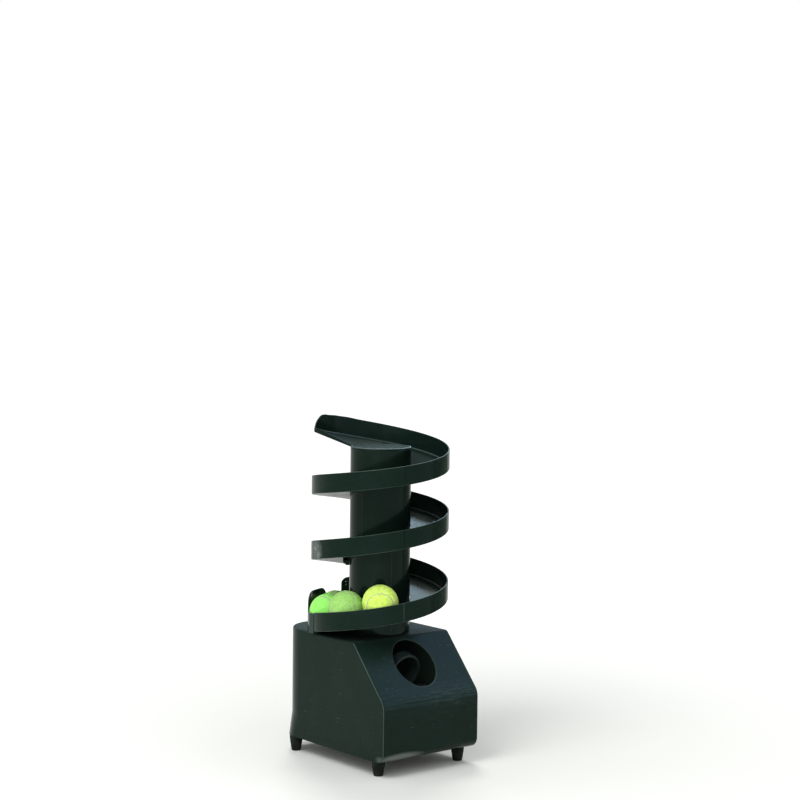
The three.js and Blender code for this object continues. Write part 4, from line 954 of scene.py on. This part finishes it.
def wall_top(turns):
    """Height of the wall's rim, in mm, after so many turns down."""
    heights = RAMP["heights"]
    place = (turns + 1) * 2
    i = min(max(math.floor(place), 0), len(heights) - 2)
    u = place - i
    here, after = heights[i], heights[i + 1]
    before = heights[i - 1] if i > 0 else 2 * here - after
    beyond = heights[min(i + 2, len(heights) - 1)]
    slope_in, slope_out = (after - before) / 2, (beyond - here) / 2
    return ((2 * u ** 3 - 3 * u ** 2 + 1) * here + (u ** 3 - 2 * u ** 2 + u) * slope_in
            + (3 * u ** 2 - 2 * u ** 3) * after + (u ** 3 - u ** 2) * slope_out)


LIFT = [
    (-1, 0), (-0.905, 0), (-0.863, 2.4), (-0.835, 3.2), (-0.8, 2.4), (-0.58, 2.2), (-0.45, 0.4),
    (-0.306, 0), (3, 0),
]


def rim_lift(turns):
    """The first length's rim rises a little over the floor's curve, as its moulding has relaxed."""
    for (t0, z0), (t1, z1) in zip(LIFT, LIFT[1:]):
        if t0 <= turns <= t1:
            share = (turns - t0) / (t1 - t0)
            return z0 + (z1 - z0) * (3 - 2 * share) * share ** 2
    return 0


def on_ramp(radius, z, turns):
    """A point at a radius and height, in mm, after so many turns down."""
    angle = math.radians(RAMP["zero"] - 360 * turns)
    return mm(AXIS_X + radius * math.cos(angle), AXIS_Y + radius * math.sin(angle), z)


def channel_outline(turns):
    under = wall_top(turns) - RAMP["height"]
    top, floor_z = under + RAMP["height"] + rim_lift(turns), under + RAMP["floor"]
    return rounded([
        (RAMP["inner"], under, 0.4), (RAMP["outer"], under, RAMP["low_edge"]),
        (RAMP["outer"], top, RAMP["rim"]), (RAMP["channel"], top, RAMP["rim"]),
        (RAMP["channel"], floor_z, RAMP["fillet"]), (RAMP["inner"], floor_z, 0.4),
    ], 4)


HIGHEST = 648.2


def landing_outline(turns):
    """At the top the wall grows out of the floor's edge, and the floor leans up to the cap."""
    share = min(max((turns - RAMP["start"]) / (RAMP["full"] - RAMP["start"]), 0), 1)
    rise = share ** 0.6
    under = wall_top(turns) - RAMP["height"]
    low_z = under - 4 * (1 - share)
    floor_z = under + RAMP["floor"]
    top = max(floor_z + 0.6, under + RAMP["height"] * rise + rim_lift(turns))
    top = min(top, HIGHEST)
    return rounded([
        (CAP["bore"], CAP["low"], 0.3), (COLUMN["radius"], CAP["low"], 0.3),
        (RAMP["outer"], low_z, RAMP["low_edge"]), (RAMP["outer"], top, RAMP["rim"]),
        (RAMP["channel"], top, RAMP["rim"]), (RAMP["channel"], floor_z, RAMP["fillet"]),
        (COLUMN["radius"], CAP["top"], 4.0), (CAP["bore"], CAP["top"] - CAP["dip"], 0.3),
    ], 4)


# %% Ramp lengths


EASE = {"depth": 0.5, "along": 0.8}


def length_of_ramp(start, end, outline_at, paler, stations=None, plain=(), pale=()):
    """Skins the channel from start to end, in turns down. End 0 is the upper one, end 1 the lower.

    Plain ends are not eased. Pale ends take the paler finish: wear where balls and hands catch the joint,
    and a painted highlight line.
    """
    ease = EASE["along"] / (2 * math.pi * RAMP["outer"])
    if stations is None:
        count = max(2, round((end - start) * 240))
        stations = [start + (end - start) * i / count for i in range(count + 1)]
    stations = [start, start + ease] + stations[1:-1] + [end - ease, end]
    rings = []
    for i, turns in enumerate(stations):
        outline = outline_at(turns)
        if (i == 0 and 0 not in plain) or (i == len(stations) - 1 and 1 not in plain):
            outline = shrunk(outline, EASE["depth"])
        rings.append([on_ramp(radius, z, turns) for radius, z in outline])
    points, faces, marks = skin(rings, paler=paler)
    size = len(rings[0])
    if 0 in pale:
        marks[:size] = [1] * size
    if 1 in pale:
        marks[-2 - size:-2] = [1] * size
    return points, faces, marks


# The rim, the low edge and the fillet at the wall's foot take the paler finish. It is a painted highlight
# line along each, with some wear.
RIM, LOW_EDGE, FOOT = (11, 12, 13, 14, 15, 16), (6, 7), (21, 22)
CHANNEL_WEAR_AND_HIGHLIGHT = RIM + LOW_EDGE + FOOT
LANDING_WEAR_AND_HIGHLIGHT = (11, 12, 16, 17, 18, 19, 20, 21, 26, 27)


grown = [RAMP["start"] + (RAMP["full"] - RAMP["start"]) * (i / 20) ** 1.7 for i in range(21)]
leaning = grown + [RAMP["full"] + (RAMP["landing_end"] - RAMP["full"]) * i / 44 for i in range(1, 45)]
cap_plate = [
    (0.01, CAP["low"]), (57.4, CAP["low"]), (57.9, 590.8), (58.0, 591.4), (58.0, 591.9), (57.85, 592.6),
    (57.4, 593.1), (56.6, 593.4), (55.4, CAP["top"]), (0.01, CAP["top"]),
]
# The cap plate's rounded rim takes the paler finish, as a painted highlight line.
CAP_RIM = (4, 5, 6, 7)
plug = [(48.5, 583.5), (CAP["bore"], 584.5), (CAP["bore"], 591.0), (48.5, 591.0)]
upper, lower = (0,), (1,)
landing = built("ramp_top", [
    length_of_ramp(
        RAMP["start"], RAMP["landing_end"], landing_outline, LANDING_WEAR_AND_HIGHLIGHT, leaning, plain=lower, pale=upper,
    ),
    length_of_ramp(
        RAMP["landing_end"], RAMP["seam"] - RAMP["gap"], channel_outline, CHANNEL_WEAR_AND_HIGHLIGHT, plain=upper,
    ),
    turned(cap_plate, 120, (AXIS_X, AXIS_Y), CAP_RIM),
    turned(plug, 96, (AXIS_X, AXIS_Y)),
])
piece(landing, abs_landing, "machine", ["ramp_landing"], smooth=35, others=[wear_and_painted_highlight])
PALE_ENDS = {3: lower, 4: upper + lower}
LUG = {"turns": 1, "half_angle": 6 / 62}
for i in range(5):
    start = RAMP["seam"] + 0.5 * i
    end = min(start + 0.5, RAMP["end"]) - RAMP["gap"]
    parts = [length_of_ramp(start, end, channel_outline, CHANNEL_WEAR_AND_HIGHLIGHT, pale=PALE_ENDS.get(i, ()))]
    if start < LUG["turns"] < end:
        under = wall_top(LUG["turns"]) - RAMP["height"]
        lug = rounded([
            (58.3, under + 0.5, 0.3), (58.3, under - 9, 1.5), (64, under - 9, 2),
            (70.3, under - 3, 2), (70.3, under + 0.5, 0.3),
        ], 3)
        rings = []
        for share in (-1, -0.93, 0.93, 1):
            outline = shrunk(lug, EASE["depth"]) if abs(share) == 1 else lug
            turns = LUG["turns"] + share * LUG["half_angle"] / (2 * math.pi)
            rings.append([on_ramp(radius, z, turns) for radius, z in outline])
        parts.append(skin(rings))
    section = built(f"ramp_length_{i + 1}", parts)
    node = f"ramp_section_{i + 1}"
    piece(section, abs_ramp, "machine", [node], smooth=35, others=[wear_and_painted_highlight])
print("ramp: rim from", round(wall_top(RAMP["full"])), "to", round(wall_top(RAMP["end"])), "mm")

# %% [markdown]
# ## Inlet guard
# Where the ramp ends, a low wall keeps the waiting balls over the inlet. It starts flush with the
# ramp's wall and swings out round the ball. That bend and the wall's rim take the paler finish,
# partly rubbed and partly a painted highlight. It has two raised tabs at the back and a floor that
# screws to the case. Its wall is skinned like the ramp, but its height changes along it: the tabs
# are a table of start, end, top and corner sizes.

# %% Guard
GUARD = {
    "outer": 136.5, "inner": 134.3, "wall": 2.2, "low": 240.3, "rim": 279.0, "floor_top": 243.3,
    "start": 157.25, "first": -2.0, "last": 123.0, "swing": 3.3, "step": 0.25, "pale_steps": 12,
}
TABS = [
    {"start": 18.0, "end": 56.4, "top": 309.5, "first_corner": 40, "last_corner": 17, "drop": 24},
    {"start": 72.45, "end": 123.0, "top": 324.5, "first_corner": 16, "last_corner": 16, "drop": 11},
]


def guard_top(angle):
    """The wall's height: its rim, or a tab's top less the fall of the tab's round corners."""
    height = GUARD["rim"]
    for tab in TABS:
        if tab["start"] - 0.01 <= angle <= tab["end"] + 0.01:
            near = 1 - math.radians(angle - tab["start"]) * GUARD["outer"] / tab["first_corner"]
            far = 1 - math.radians(tab["end"] - angle) * GUARD["outer"] / tab["last_corner"]
            fall = 1 - math.sqrt(1 - min(max(near, far, 0), 1) ** 2)
            height = max(height, tab["top"] - tab["drop"] * fall)
    return height


def on_guard(radius, z, angle):
    """A point at a radius and height, in mm, so many degrees from the guard's start."""
    turned_by = math.radians(GUARD["start"] - angle)
    return mm(AXIS_X + radius * math.cos(turned_by), AXIS_Y + radius * math.sin(turned_by), z)


guard_angles = [GUARD["first"] + GUARD["step"] * i for i in range(500)]
for tab in TABS:
    start, end = tab["start"], tab["end"]
    guard_angles += [start - 0.12, start, start + 0.15, end - 0.15, end, end + 0.12]
guard_angles = sorted({round(a, 3) for a in guard_angles if a <= GUARD["last"]})
rings = []
for i, angle in enumerate(guard_angles):
    swing = min((angle - GUARD["first"]) / GUARD["swing"], 1)
    outside = RAMP["outer"] + (GUARD["outer"] - RAMP["outer"]) * (3 - 2 * swing) * swing ** 2
    inside = outside - GUARD["wall"]
    outline = rounded([
        (inside, GUARD["low"], 0.3), (outside, GUARD["low"], 0.8),
        (outside, guard_top(angle), 0.9), (inside, guard_top(angle), 0.9),
    ], 3)
    if i in (0, len(guard_angles) - 1):
        outline = shrunk(outline, 0.4)
    rings.append([on_guard(radius, z, angle) for radius, z in outline])
floor_rings = []
for i in range(124):
    outline = rounded([
        (118, GUARD["low"], 0.3), (135, GUARD["low"], 0.3),
        (135, GUARD["floor_top"], 0.3), (118, GUARD["floor_top"], 0.8),
    ], 2)
    floor_rings.append([on_guard(radius, z, float(i)) for radius, z in outline])
end_angle = math.radians(GUARD["start"] - GUARD["last"])
across = Vector((math.cos(end_angle), math.sin(end_angle), 0))
sideways = Vector((-across.y, across.x, 0))
end_outline = rounded([
    (RAMP["inner"], GUARD["low"], 0.4), (135.5, GUARD["low"], 0.4), (135.5, 300, 3), (RAMP["inner"], 300, 6),
], 5)
end_rings = []
for offset, ease in ((0, 0.5), (0.5, 0), (1.7, 0), (2.2, 0.5)):
    outline = shrunk(end_outline, ease) if ease else end_outline
    foot = Vector((AXIS_X, AXIS_Y, 0)) + sideways * offset
    end_rings.append([(foot + across * r + Vector((0, 0, z))) * MM for r, z in outline])
WALL_RIM = (9, 10, 11, 12, 13)
points, faces, marks = skin(rings, paler=WALL_RIM)
# The first steps of the bend take the paler finish: some rubbing, and a painted highlight.
pale_faces = GUARD["pale_steps"] * len(rings[0])
marks[:pale_faces] = [1] * pale_faces


def inlet_tool():
    """A straight round tool that opens the guard over the inlet."""
    return built("guard_bore", [disc(INLET["radius"], 72, (INLET["x"], INLET["y"], 242), (0, 0, 1), 6)])


guard_wall = built("guard_wall", [(points, faces, marks)])
guard_floor = built("guard_floor", [skin(floor_rings)])
carved(guard_floor, [inlet_tool()])
guard_end = built("guard_end", [skin(end_rings)])
carved(guard_end, [inlet_tool()])
RIVETS = {"angle": 76.4, "heights": (309.9, 315.7), "sides": 16}
rivets = []
for z in RIVETS["heights"]:
    axis = (on_guard(1, 0, RIVETS["angle"]) - on_guard(0, 0, RIVETS["angle"])).normalized()
    side = Vector((-axis.y, axis.x, 0))
    centre = on_guard(GUARD["inner"] + 0.3, z, RIVETS["angle"])
    rings_of_head = []
    for depth, radius in ((0.0, 1.7), (-0.7, 1.65), (-1.05, 1.25), (-1.15, 0.6)):
        ring = []
        for k in range(RIVETS["sides"]):
            angle = 2 * math.pi * k / RIVETS["sides"]
            round_it = side * radius * math.cos(angle) + Vector((0, 0, 1)) * radius * math.sin(angle)
            ring.append(centre + (axis * depth + round_it) * MM)
        rings_of_head.append(ring)
    rivets.append(skin(rings_of_head))
tab_rivets = built("guard_tab_rivets", rivets)
joined = bmesh.new()
for made in (guard_wall, guard_floor, guard_end):
    joined.from_mesh(made.data)
guard_mesh = bpy.data.meshes.new("inlet_guard_wall")
joined.to_mesh(guard_mesh)
joined.free()
for made in (guard_wall, guard_floor, guard_end):
    bpy.data.objects.remove(made)
guard = bpy.data.objects.new("inlet_guard_wall", guard_mesh)
scene.collection.objects.link(guard)
piece(guard, abs_ramp, "machine", ["inlet_guard"], smooth=35, others=[wear_and_painted_highlight])
piece(tab_rivets, bright_steel, "machine", (), smooth=40)
print("guard:", len(guard_mesh.polygons), "faces")

# %% [markdown]
# ## Rubber feet
# Four tapered pegs of moulded black rubber. Rubber scatters light evenly and picks up court
# dust, so it is dull, a little brown at the foot, and finely pitted.

# %% Rubber
rubber, tree, output, where = material("moulded_rubber")
dusted = ranged(tree, mottle(tree, where, 9, 4.0), 0.45, 0.75, 0.0, 0.55)
surface(tree, output, {
    "Base Color": blend(tree, dusted, "#0d1411", "#28302b"), "Roughness": 0.7, "IOR": 1.52,
    "Specular IOR Level": 0.12, "Normal": raised_by(tree, mottle(tree, where, 0.8, 3.0), 0.5, 0.2),
})

# %% Feet
foot_profile = [
    (0.01, 0.6), (4.5, 0.6), (5.2, 0.0), (7.6, 0.0), (8.6, 0.4), (9.1, 1.6), (9.6, 5.0), (10.0, 5.6),
    (10.9, 14.0), (11.4, 14.7), (12.2, 22.0), (12.7, 26.8), (12.7, 28.0), (12.3, 28.6),
    (4.0, 28.7), (4.0, 31.2), (3.4, 31.7), (0.01, 31.7),
]
for name in ("front_left", "front_right", "rear_left", "rear_right"):
    low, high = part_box(f"foot_{name}")
    centre = ((low.x + high.x) / 2 / MM, (low.y + high.y) / 2 / MM)
    foot = built(f"rubber_foot_{name}", [turned(foot_profile, 48, centre)])
    piece(foot, rubber, "machine", [f"foot_{name}"], smooth=40)

# %% [markdown]
# ## Tennis balls
# A ball is a rubber core with two strips of felt and a pale rubber seam between them. The seam
# is a closed curve that swings above and below the middle four times. Here the felt is a fine
# sphere, pushed out by its nap and pressed in along the seam, and the seam is a narrow band of
# its own in the groove. A bump map alone would leave the outline of the ball perfectly round.
# Used felt is blotchy, so darker clumps and a paler soiled film are laid over its colour.

# %% Felt and seam


def felt(name, bright, deep, paler, shade):
    """Wool and nylon felt: fibres 0.3 mm thick in clumps of 2 mm, with a soft sheen."""
    made, tree, output, where = material(name)
    clumps = mottle(tree, where, 2.2, 5.0, roughness=0.7, distortion=0.8)
    fibres = mottle(tree, where, 0.5, 3.0, distortion=1.5)
    nap = blend(tree, ranged(tree, clumps, 0.35, 0.65), deep, bright)
    soiled = ranged(tree, mottle(tree, where, 18, 4.0, roughness=0.6), 0.48, 0.72, 0.0, 0.5)
    blotch = mottle(tree, where, 7, 7.0, roughness=0.85, distortion=1.5)
    darker = ranged(tree, blotch, 0.47, 0.62, 0.0, 0.75)
    coarse = raised_by(tree, clumps, 0.7, 0.6)
    surface(tree, output, {
        "Base Color": blend(tree, darker, blend(tree, soiled, nap, paler), shade),
        "Roughness": 0.95, "IOR": 1.45, "Specular IOR Level": 0.15,
        "Sheen Weight": 0.1, "Sheen Roughness": 0.5, "Sheen Tint": linear(bright),
        "Normal": raised_by(tree, fibres, 0.6, 0.2, coarse),
    })
    return made


seam_rubber, tree, output, where = material("seam_rubber")
grain = mottle(tree, where, 1.2, 3.0)
surface(tree, output, {
    "Base Color": blend(tree, grain, "#9aa882", "#bcc8a0"), "Roughness": 0.6, "IOR": 1.5,
    "Normal": raised_by(tree, grain, 0.4, 0.1),
})
felt_yellow = felt("felt_yellow", "#e6ff88", "#c0ec50", "#f4fca4", "#8cb838")
felt_green = felt("felt_bright_green", "#aeff86", "#84e45a", "#bdf098", "#74d24e")
felt_dull = felt("felt_dull_green", "#a9df7c", "#88bf5c", "#bccda2", "#7dad58")

# %% Ball shape
SEAM_BEND = 0.44
SEAM_POINTS = 360
BALL = {"radius": 34.2, "under_nap": 0.3, "groove": 0.9, "groove_half": 2.4}
FINE_NAP, COARSE_NAP = (1.4, 0.14), (5, 0.12)
SEAM_PROFILE = [(-1.1, 1.6), (-0.95, 0.8), (0, 0.65), (0.95, 0.8), (1.1, 1.6)]


def seam_point(t):
    """The seam's direction from the ball's centre, for t from 0 to 4 pi."""
    across = math.pi / 2 - (math.pi / 2 - SEAM_BEND) * math.cos(t)
    along = t / 2 + SEAM_BEND * math.sin(2 * t)
    flat_share = math.sin(across)
    return Vector((flat_share * math.cos(along), flat_share * math.sin(along), math.cos(across)))


SEAM = [seam_point(4 * math.pi * i / SEAM_POINTS) for i in range(SEAM_POINTS)]
nearest_seam = kdtree.KDTree(len(SEAM))
for i, point in enumerate(SEAM):
    nearest_seam.insert(point, i)
nearest_seam.balance()


def ball(name, node, body, finish, turned_by, seed):
    """A felt ball and its seam. Turned_by is tip, lean and swing in degrees, as the camera sees it."""
    radius = BALL["radius"]
    low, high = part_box(node)
    centre = (low + high) / 2
    tip, lean, swing = (math.radians(a) for a in turned_by)
    upright = Matrix((right, -forward, -up)).transposed()
    leaned = Matrix.Rotation(swing, 3, up) @ Matrix.Rotation(lean, 3, forward)
    spin = leaned @ Matrix.Rotation(tip, 3, right) @ upright
    shape = bmesh.new()
    bmesh.ops.create_icosphere(shape, subdivisions=6, radius=1.0)
    for v in shape.verts:
        away = v.co.normalized()
        _, _, gap = nearest_seam.find(away)
        dip = BALL["groove"] * max(0, 1 - (gap * radius / BALL["groove_half"]) ** 2)
        fine = noise.noise(away * radius / FINE_NAP[0] + Vector((seed, 0, 0))) * FINE_NAP[1]
        coarse = noise.noise(away * radius / COARSE_NAP[0] + Vector((0, seed, 0))) * COARSE_NAP[1]
        v.co = spin @ away * (radius - BALL["under_nap"] - dip + (fine + coarse)) * MM
    mesh = bpy.data.meshes.new(name)
    shape.to_mesh(mesh)
    shape.free()
    mesh.transform(Matrix.Translation(centre))
    made = bpy.data.objects.new(name, mesh)
    scene.collection.objects.link(made)
    piece(made, finish, body, [node], smooth=180, weighted=False)
    rings = []
    for i, here in enumerate(SEAM):
        along = (SEAM[(i + 1) % len(SEAM)] - SEAM[i - 1]).normalized()
        side = here.cross(along)
        ring = []
        for across_seam, depth in SEAM_PROFILE:
            ring.append(centre + spin @ (here * (radius - depth) + side * across_seam) * MM)
        rings.append(ring)
    band = built(f"{name}_seam", [skin(rings, loop=True)])
    piece(band, seam_rubber, body, (), smooth=60, weighted=False)


BALLS = [
    ("felt_ball_1", "ball_1", felt_green, "felt_green", (40, 30, 0)),
    ("felt_ball_2", "ball_2", felt_dull, "felt_dull_green", (90, 50, 0)),
    ("felt_ball_3", "ball_3", felt_green, "felt_green", (0, 10, -35)),
    ("felt_ball_4", "ball_4", felt_dull, "felt_dull_green", (-20, -30, 0)),
    ("felt_ball_5", "ball_5", felt_yellow, "felt_yellow", (28, 0, 0)),
]
for i, (name, node, finish, slot, turned_by) in enumerate(BALLS):
    ball(name, node, node, finish, turned_by, 10 * i + 3)

# %% [markdown]
# ## Finishes for the works inside
# The frame, the gears and the electrics keep their CAD shapes, because those are right, and get
# the finish that such parts have: self-coloured acetal and nylon with the spark-eroded grain of
# their tools, shrink-wrapped cells and green solder-masked board.

# %% Plastics inside


def moulded(name, pale, dark, roughness, grain_size, depth):
    """Nylon, acetal or a painted part: matt to satin, with the tool's spark-eroded grain."""
    made, tree, output, where = material(name)
    flow = mottle(tree, where, 22, 3.0)
    surface(tree, output, {
        "Base Color": blend(tree, flow, dark, pale), "IOR": 1.52, "Specular IOR Level": 0.4,
        "Roughness": ranged(tree, flow, 0.0, 1.0, roughness - 0.06, roughness + 0.08),
        "Normal": raised_by(tree, mottle(tree, where, grain_size, 3.0), 0.4, depth),
    })
    return made


nylon = moulded("dark_nylon", "#3d4744", "#2b3330", 0.42, 0.7, 0.05)
arm_nylon = moulded("dark_green_nylon", "#22302e", "#172220", 0.4, 0.7, 0.05)
chute_nylon = moulded("grey_nylon", "#65706c", "#535d5a", 0.4, 0.7, 0.05)
acetal = moulded("white_acetal", "#e2dfd4", "#cfccc0", 0.38, 1.0, 0.02)
cell_wrap = moulded("pvc_shrink_wrap", "#3f4c59", "#2d3842", 0.3, 4.0, 0.08)
fibre_board = moulded("solder_masked_board", "#24683f", "#174a2c", 0.35, 1.2, 0.03)

# %% [markdown]
# ## Screws, springs and switch marks
# A screw is known by its head: low, round at the rim, with a pressed cross. The head is turned
# from a profile and the cross is cut by two rounded bars that narrow downwards. A spring is wire
# wound on a mandrel, so a ring of points is carried along a coil. The switch has the two usual
# marks, a bar for on and a ring for off, moulded a little proud of its rocker.

# %% Screws


def bar_of_cross(long, wide):
    """One arm of the cross, narrower at the bottom, as the punch leaves it."""
    rings = []
    for depth, share in ((-0.5, 1.1), (0.0, 1.0), (1.1, 0.62)):
        a, b = (long * share, wide) if long > wide else (long, wide * share)
        outline = rounded([(-a, -b, 0.2), (a, -b, 0.2), (a, b, 0.2), (-a, b, 0.2)], 2)
        rings.append([mm(x, y, depth) for x, y in outline])
    return built("cross_bar", [skin(rings)])


def screw(node, place, length, twist):
    """A screw with its head at place. Length is in mm, and twist is where the driver left it."""
    outline = [
        (0.01, 0.0), (2.4, 0.05), (3.3, 0.3), (3.8, 0.75), (3.95, 1.2), (3.95, 1.85), (1.8, 1.95),
        (1.8, length - 0.5), (1.3, length), (0.01, length),
    ]
    cross = [bar_of_cross(2.3, 0.5), bar_of_cross(0.5, 2.3)]
    made = carved(built(f"{node}_turned", [turned(outline, 40)]), cross)
    made.data.transform(place @ Matrix.Rotation(math.radians(twist), 4, "Z"))
    piece(made, zinc, "machine", [node], smooth=40, weighted=False)


for i in range(1, 5):
    low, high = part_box(f"panel_screw_{i}")
    on_panel = Matrix.Translation(((low.x + high.x) / 2, high.y, (low.z + high.z) / 2))
    backwards = Matrix.Rotation(math.radians(90), 4, "X")
    screw(f"panel_screw_{i}", on_panel @ backwards, (high.y - low.y) / MM, 37 * i)
    low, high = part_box(f"base_screw_{i}")
    under_plate = Matrix.Translation(((low.x + high.x) / 2, (low.y + high.y) / 2, low.z))
    screw(f"base_screw_{i}", under_plate, (high.z - low.z) / MM, 23 * i)

# %% Springs
SPRING = {"wire": 1.6, "sides": 10, "per_turn": 26}
for side in ("left", "right"):
    low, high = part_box(f"throw_spring_{side}")
    middle = Vector((0, (low.y + high.y) / 2, (low.z + high.z) / 2))
    swing = (high.z - low.z) / 2 - SPRING["wire"] * MM
    first, last = low.x + SPRING["wire"] * MM, high.x - SPRING["wire"] * MM
    turns = math.floor((last - first) / (2.25 * SPRING["wire"] * MM))
    rings = []
    steps = turns * SPRING["per_turn"]
    for i in range(steps + 1):
        angle = 2 * math.pi * i / SPRING["per_turn"]
        spoke = Vector((0, math.cos(angle), math.sin(angle)))
        centre = middle + spoke * swing + Vector((first + (last - first) * i / steps, 0, 0))
        ring = []
        for k in range(SPRING["sides"]):
            around = 2 * math.pi * k / SPRING["sides"]
            wire = spoke * math.cos(around) + Vector((1, 0, 0)) * math.sin(around)
            ring.append(centre + wire * SPRING["wire"] * MM)
        rings.append(ring)
    coil = built(f"coil_spring_{side}", [skin(rings)])
    body = body_of(frame["nodes"][f"throw_spring_{side}"])[0]
    piece(coil, spring_steel, body, [f"throw_spring_{side}"], smooth=60, weighted=False)
print("spring of", turns, "turns")

# %% Switch marks
white_mark, tree, output, where = material("white_moulded_mark")
speckle = mottle(tree, where, 0.6, 2.0)
surface(tree, output, {
    "Base Color": blend(tree, speckle, "#bfc4bf", "#dfe3df"), "Roughness": 0.5, "IOR": 1.5,
})
low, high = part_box("rocker_switch")
KEY = {
    "x": (low.x + high.x) / 2 / MM, "y": CASE["rear"] - 0.2, "z": 192.0,
    "half": 9.5, "face": 5.0, "dish": 3.0, "tilt": math.radians(8), "proud": 0.12,
}
MARK = {"bar_half": 0.45, "bar": (3.6, 7.2), "ring_at": -5.4, "ring": (1.25, 2.0), "sunk": 0.3}


def on_key(x, along):
    """A point just proud of the rocker's dished face, at a distance along it from its pivot."""
    share = abs(along) / KEY["half"]
    away = KEY["face"] - KEY["dish"] * (1 - share) + 0.2 + KEY["proud"]
    y = away * math.cos(KEY["tilt"]) - along * math.sin(KEY["tilt"])
    z = away * math.sin(KEY["tilt"]) + along * math.cos(KEY["tilt"])
    return mm(KEY["x"] + x, KEY["y"] + y, KEY["z"] + z)


sunk = mm(0, MARK["sunk"], 0)
bar = []
for x in (-MARK["bar_half"], MARK["bar_half"]):
    low_end, high_end = [on_key(x, along) for along in MARK["bar"]]
    bar.append([low_end, high_end, high_end - sunk, low_end - sunk])
ring_mark = []
for i in range(24):
    angle = 2 * math.pi * i / 24
    across, along = math.cos(angle), math.sin(angle)
    inside, outside = [on_key(r * across, MARK["ring_at"] + r * along) for r in MARK["ring"]]
    ring_mark.append([inside, outside, outside - sunk, inside - sunk])
marks = built("switch_marks", [skin(bar), skin(ring_mark, loop=True)])
rocker = body_of(frame["nodes"]["rocker_switch"])[0]
piece(marks, white_mark, rocker, (), smooth=30, weighted=False)

# %% CAD nodes that keep their shape
KEPT = {
    zinc: ["arm_bracket_left", "arm_bracket_right", "gear_motor", "buffer_bar"],
    bright_steel: ["arm_shaft", "cam_shaft"],
    brass: ["arm_bush_left", "arm_bush_right", "motor_pinion", "crank_roller"],
    acetal: ["cam_gear"],
    arm_nylon: ["throwing_arm"],
    chute_nylon: ["feed_chute"],
    nylon: ["base_plate", "feed_gate", "battery_tray", "switch_body", "charging_socket"],
    abs_case: ["rear_panel", "battery_door"],
    rubber: ["buffer_pad", "rocker_switch"],
    cell_wrap: [f"battery_cell_{i}" for i in range(1, 7)],
    fibre_board: ["control_board"],
}


def keep(node, finish, ease):
    """Finishes a CAD node, closes its split corners and eases its sharp edges."""
    made = frame["nodes"][node]
    for place in made.material_slots:
        place.material = finish
    weld = made.modifiers.new("weld", "WELD")
    weld.merge_threshold = 0.00001
    soft = made.modifiers.new("ease", "BEVEL")
    soft.width = ease * MM
    soft.segments = 2
    soft.limit_method = "ANGLE"
    soft.angle_limit = math.radians(40)
    even = made.modifiers.new("even_shading", "WEIGHTED_NORMAL")
    even.keep_sharp = False


for finish, nodes in KEPT.items():
    for node in nodes:
        if not frame["nodes"][node].hide_render:
            keep(node, finish, 0.35)
print("kept CAD nodes:", sum(len(nodes) for nodes in KEPT.values()))
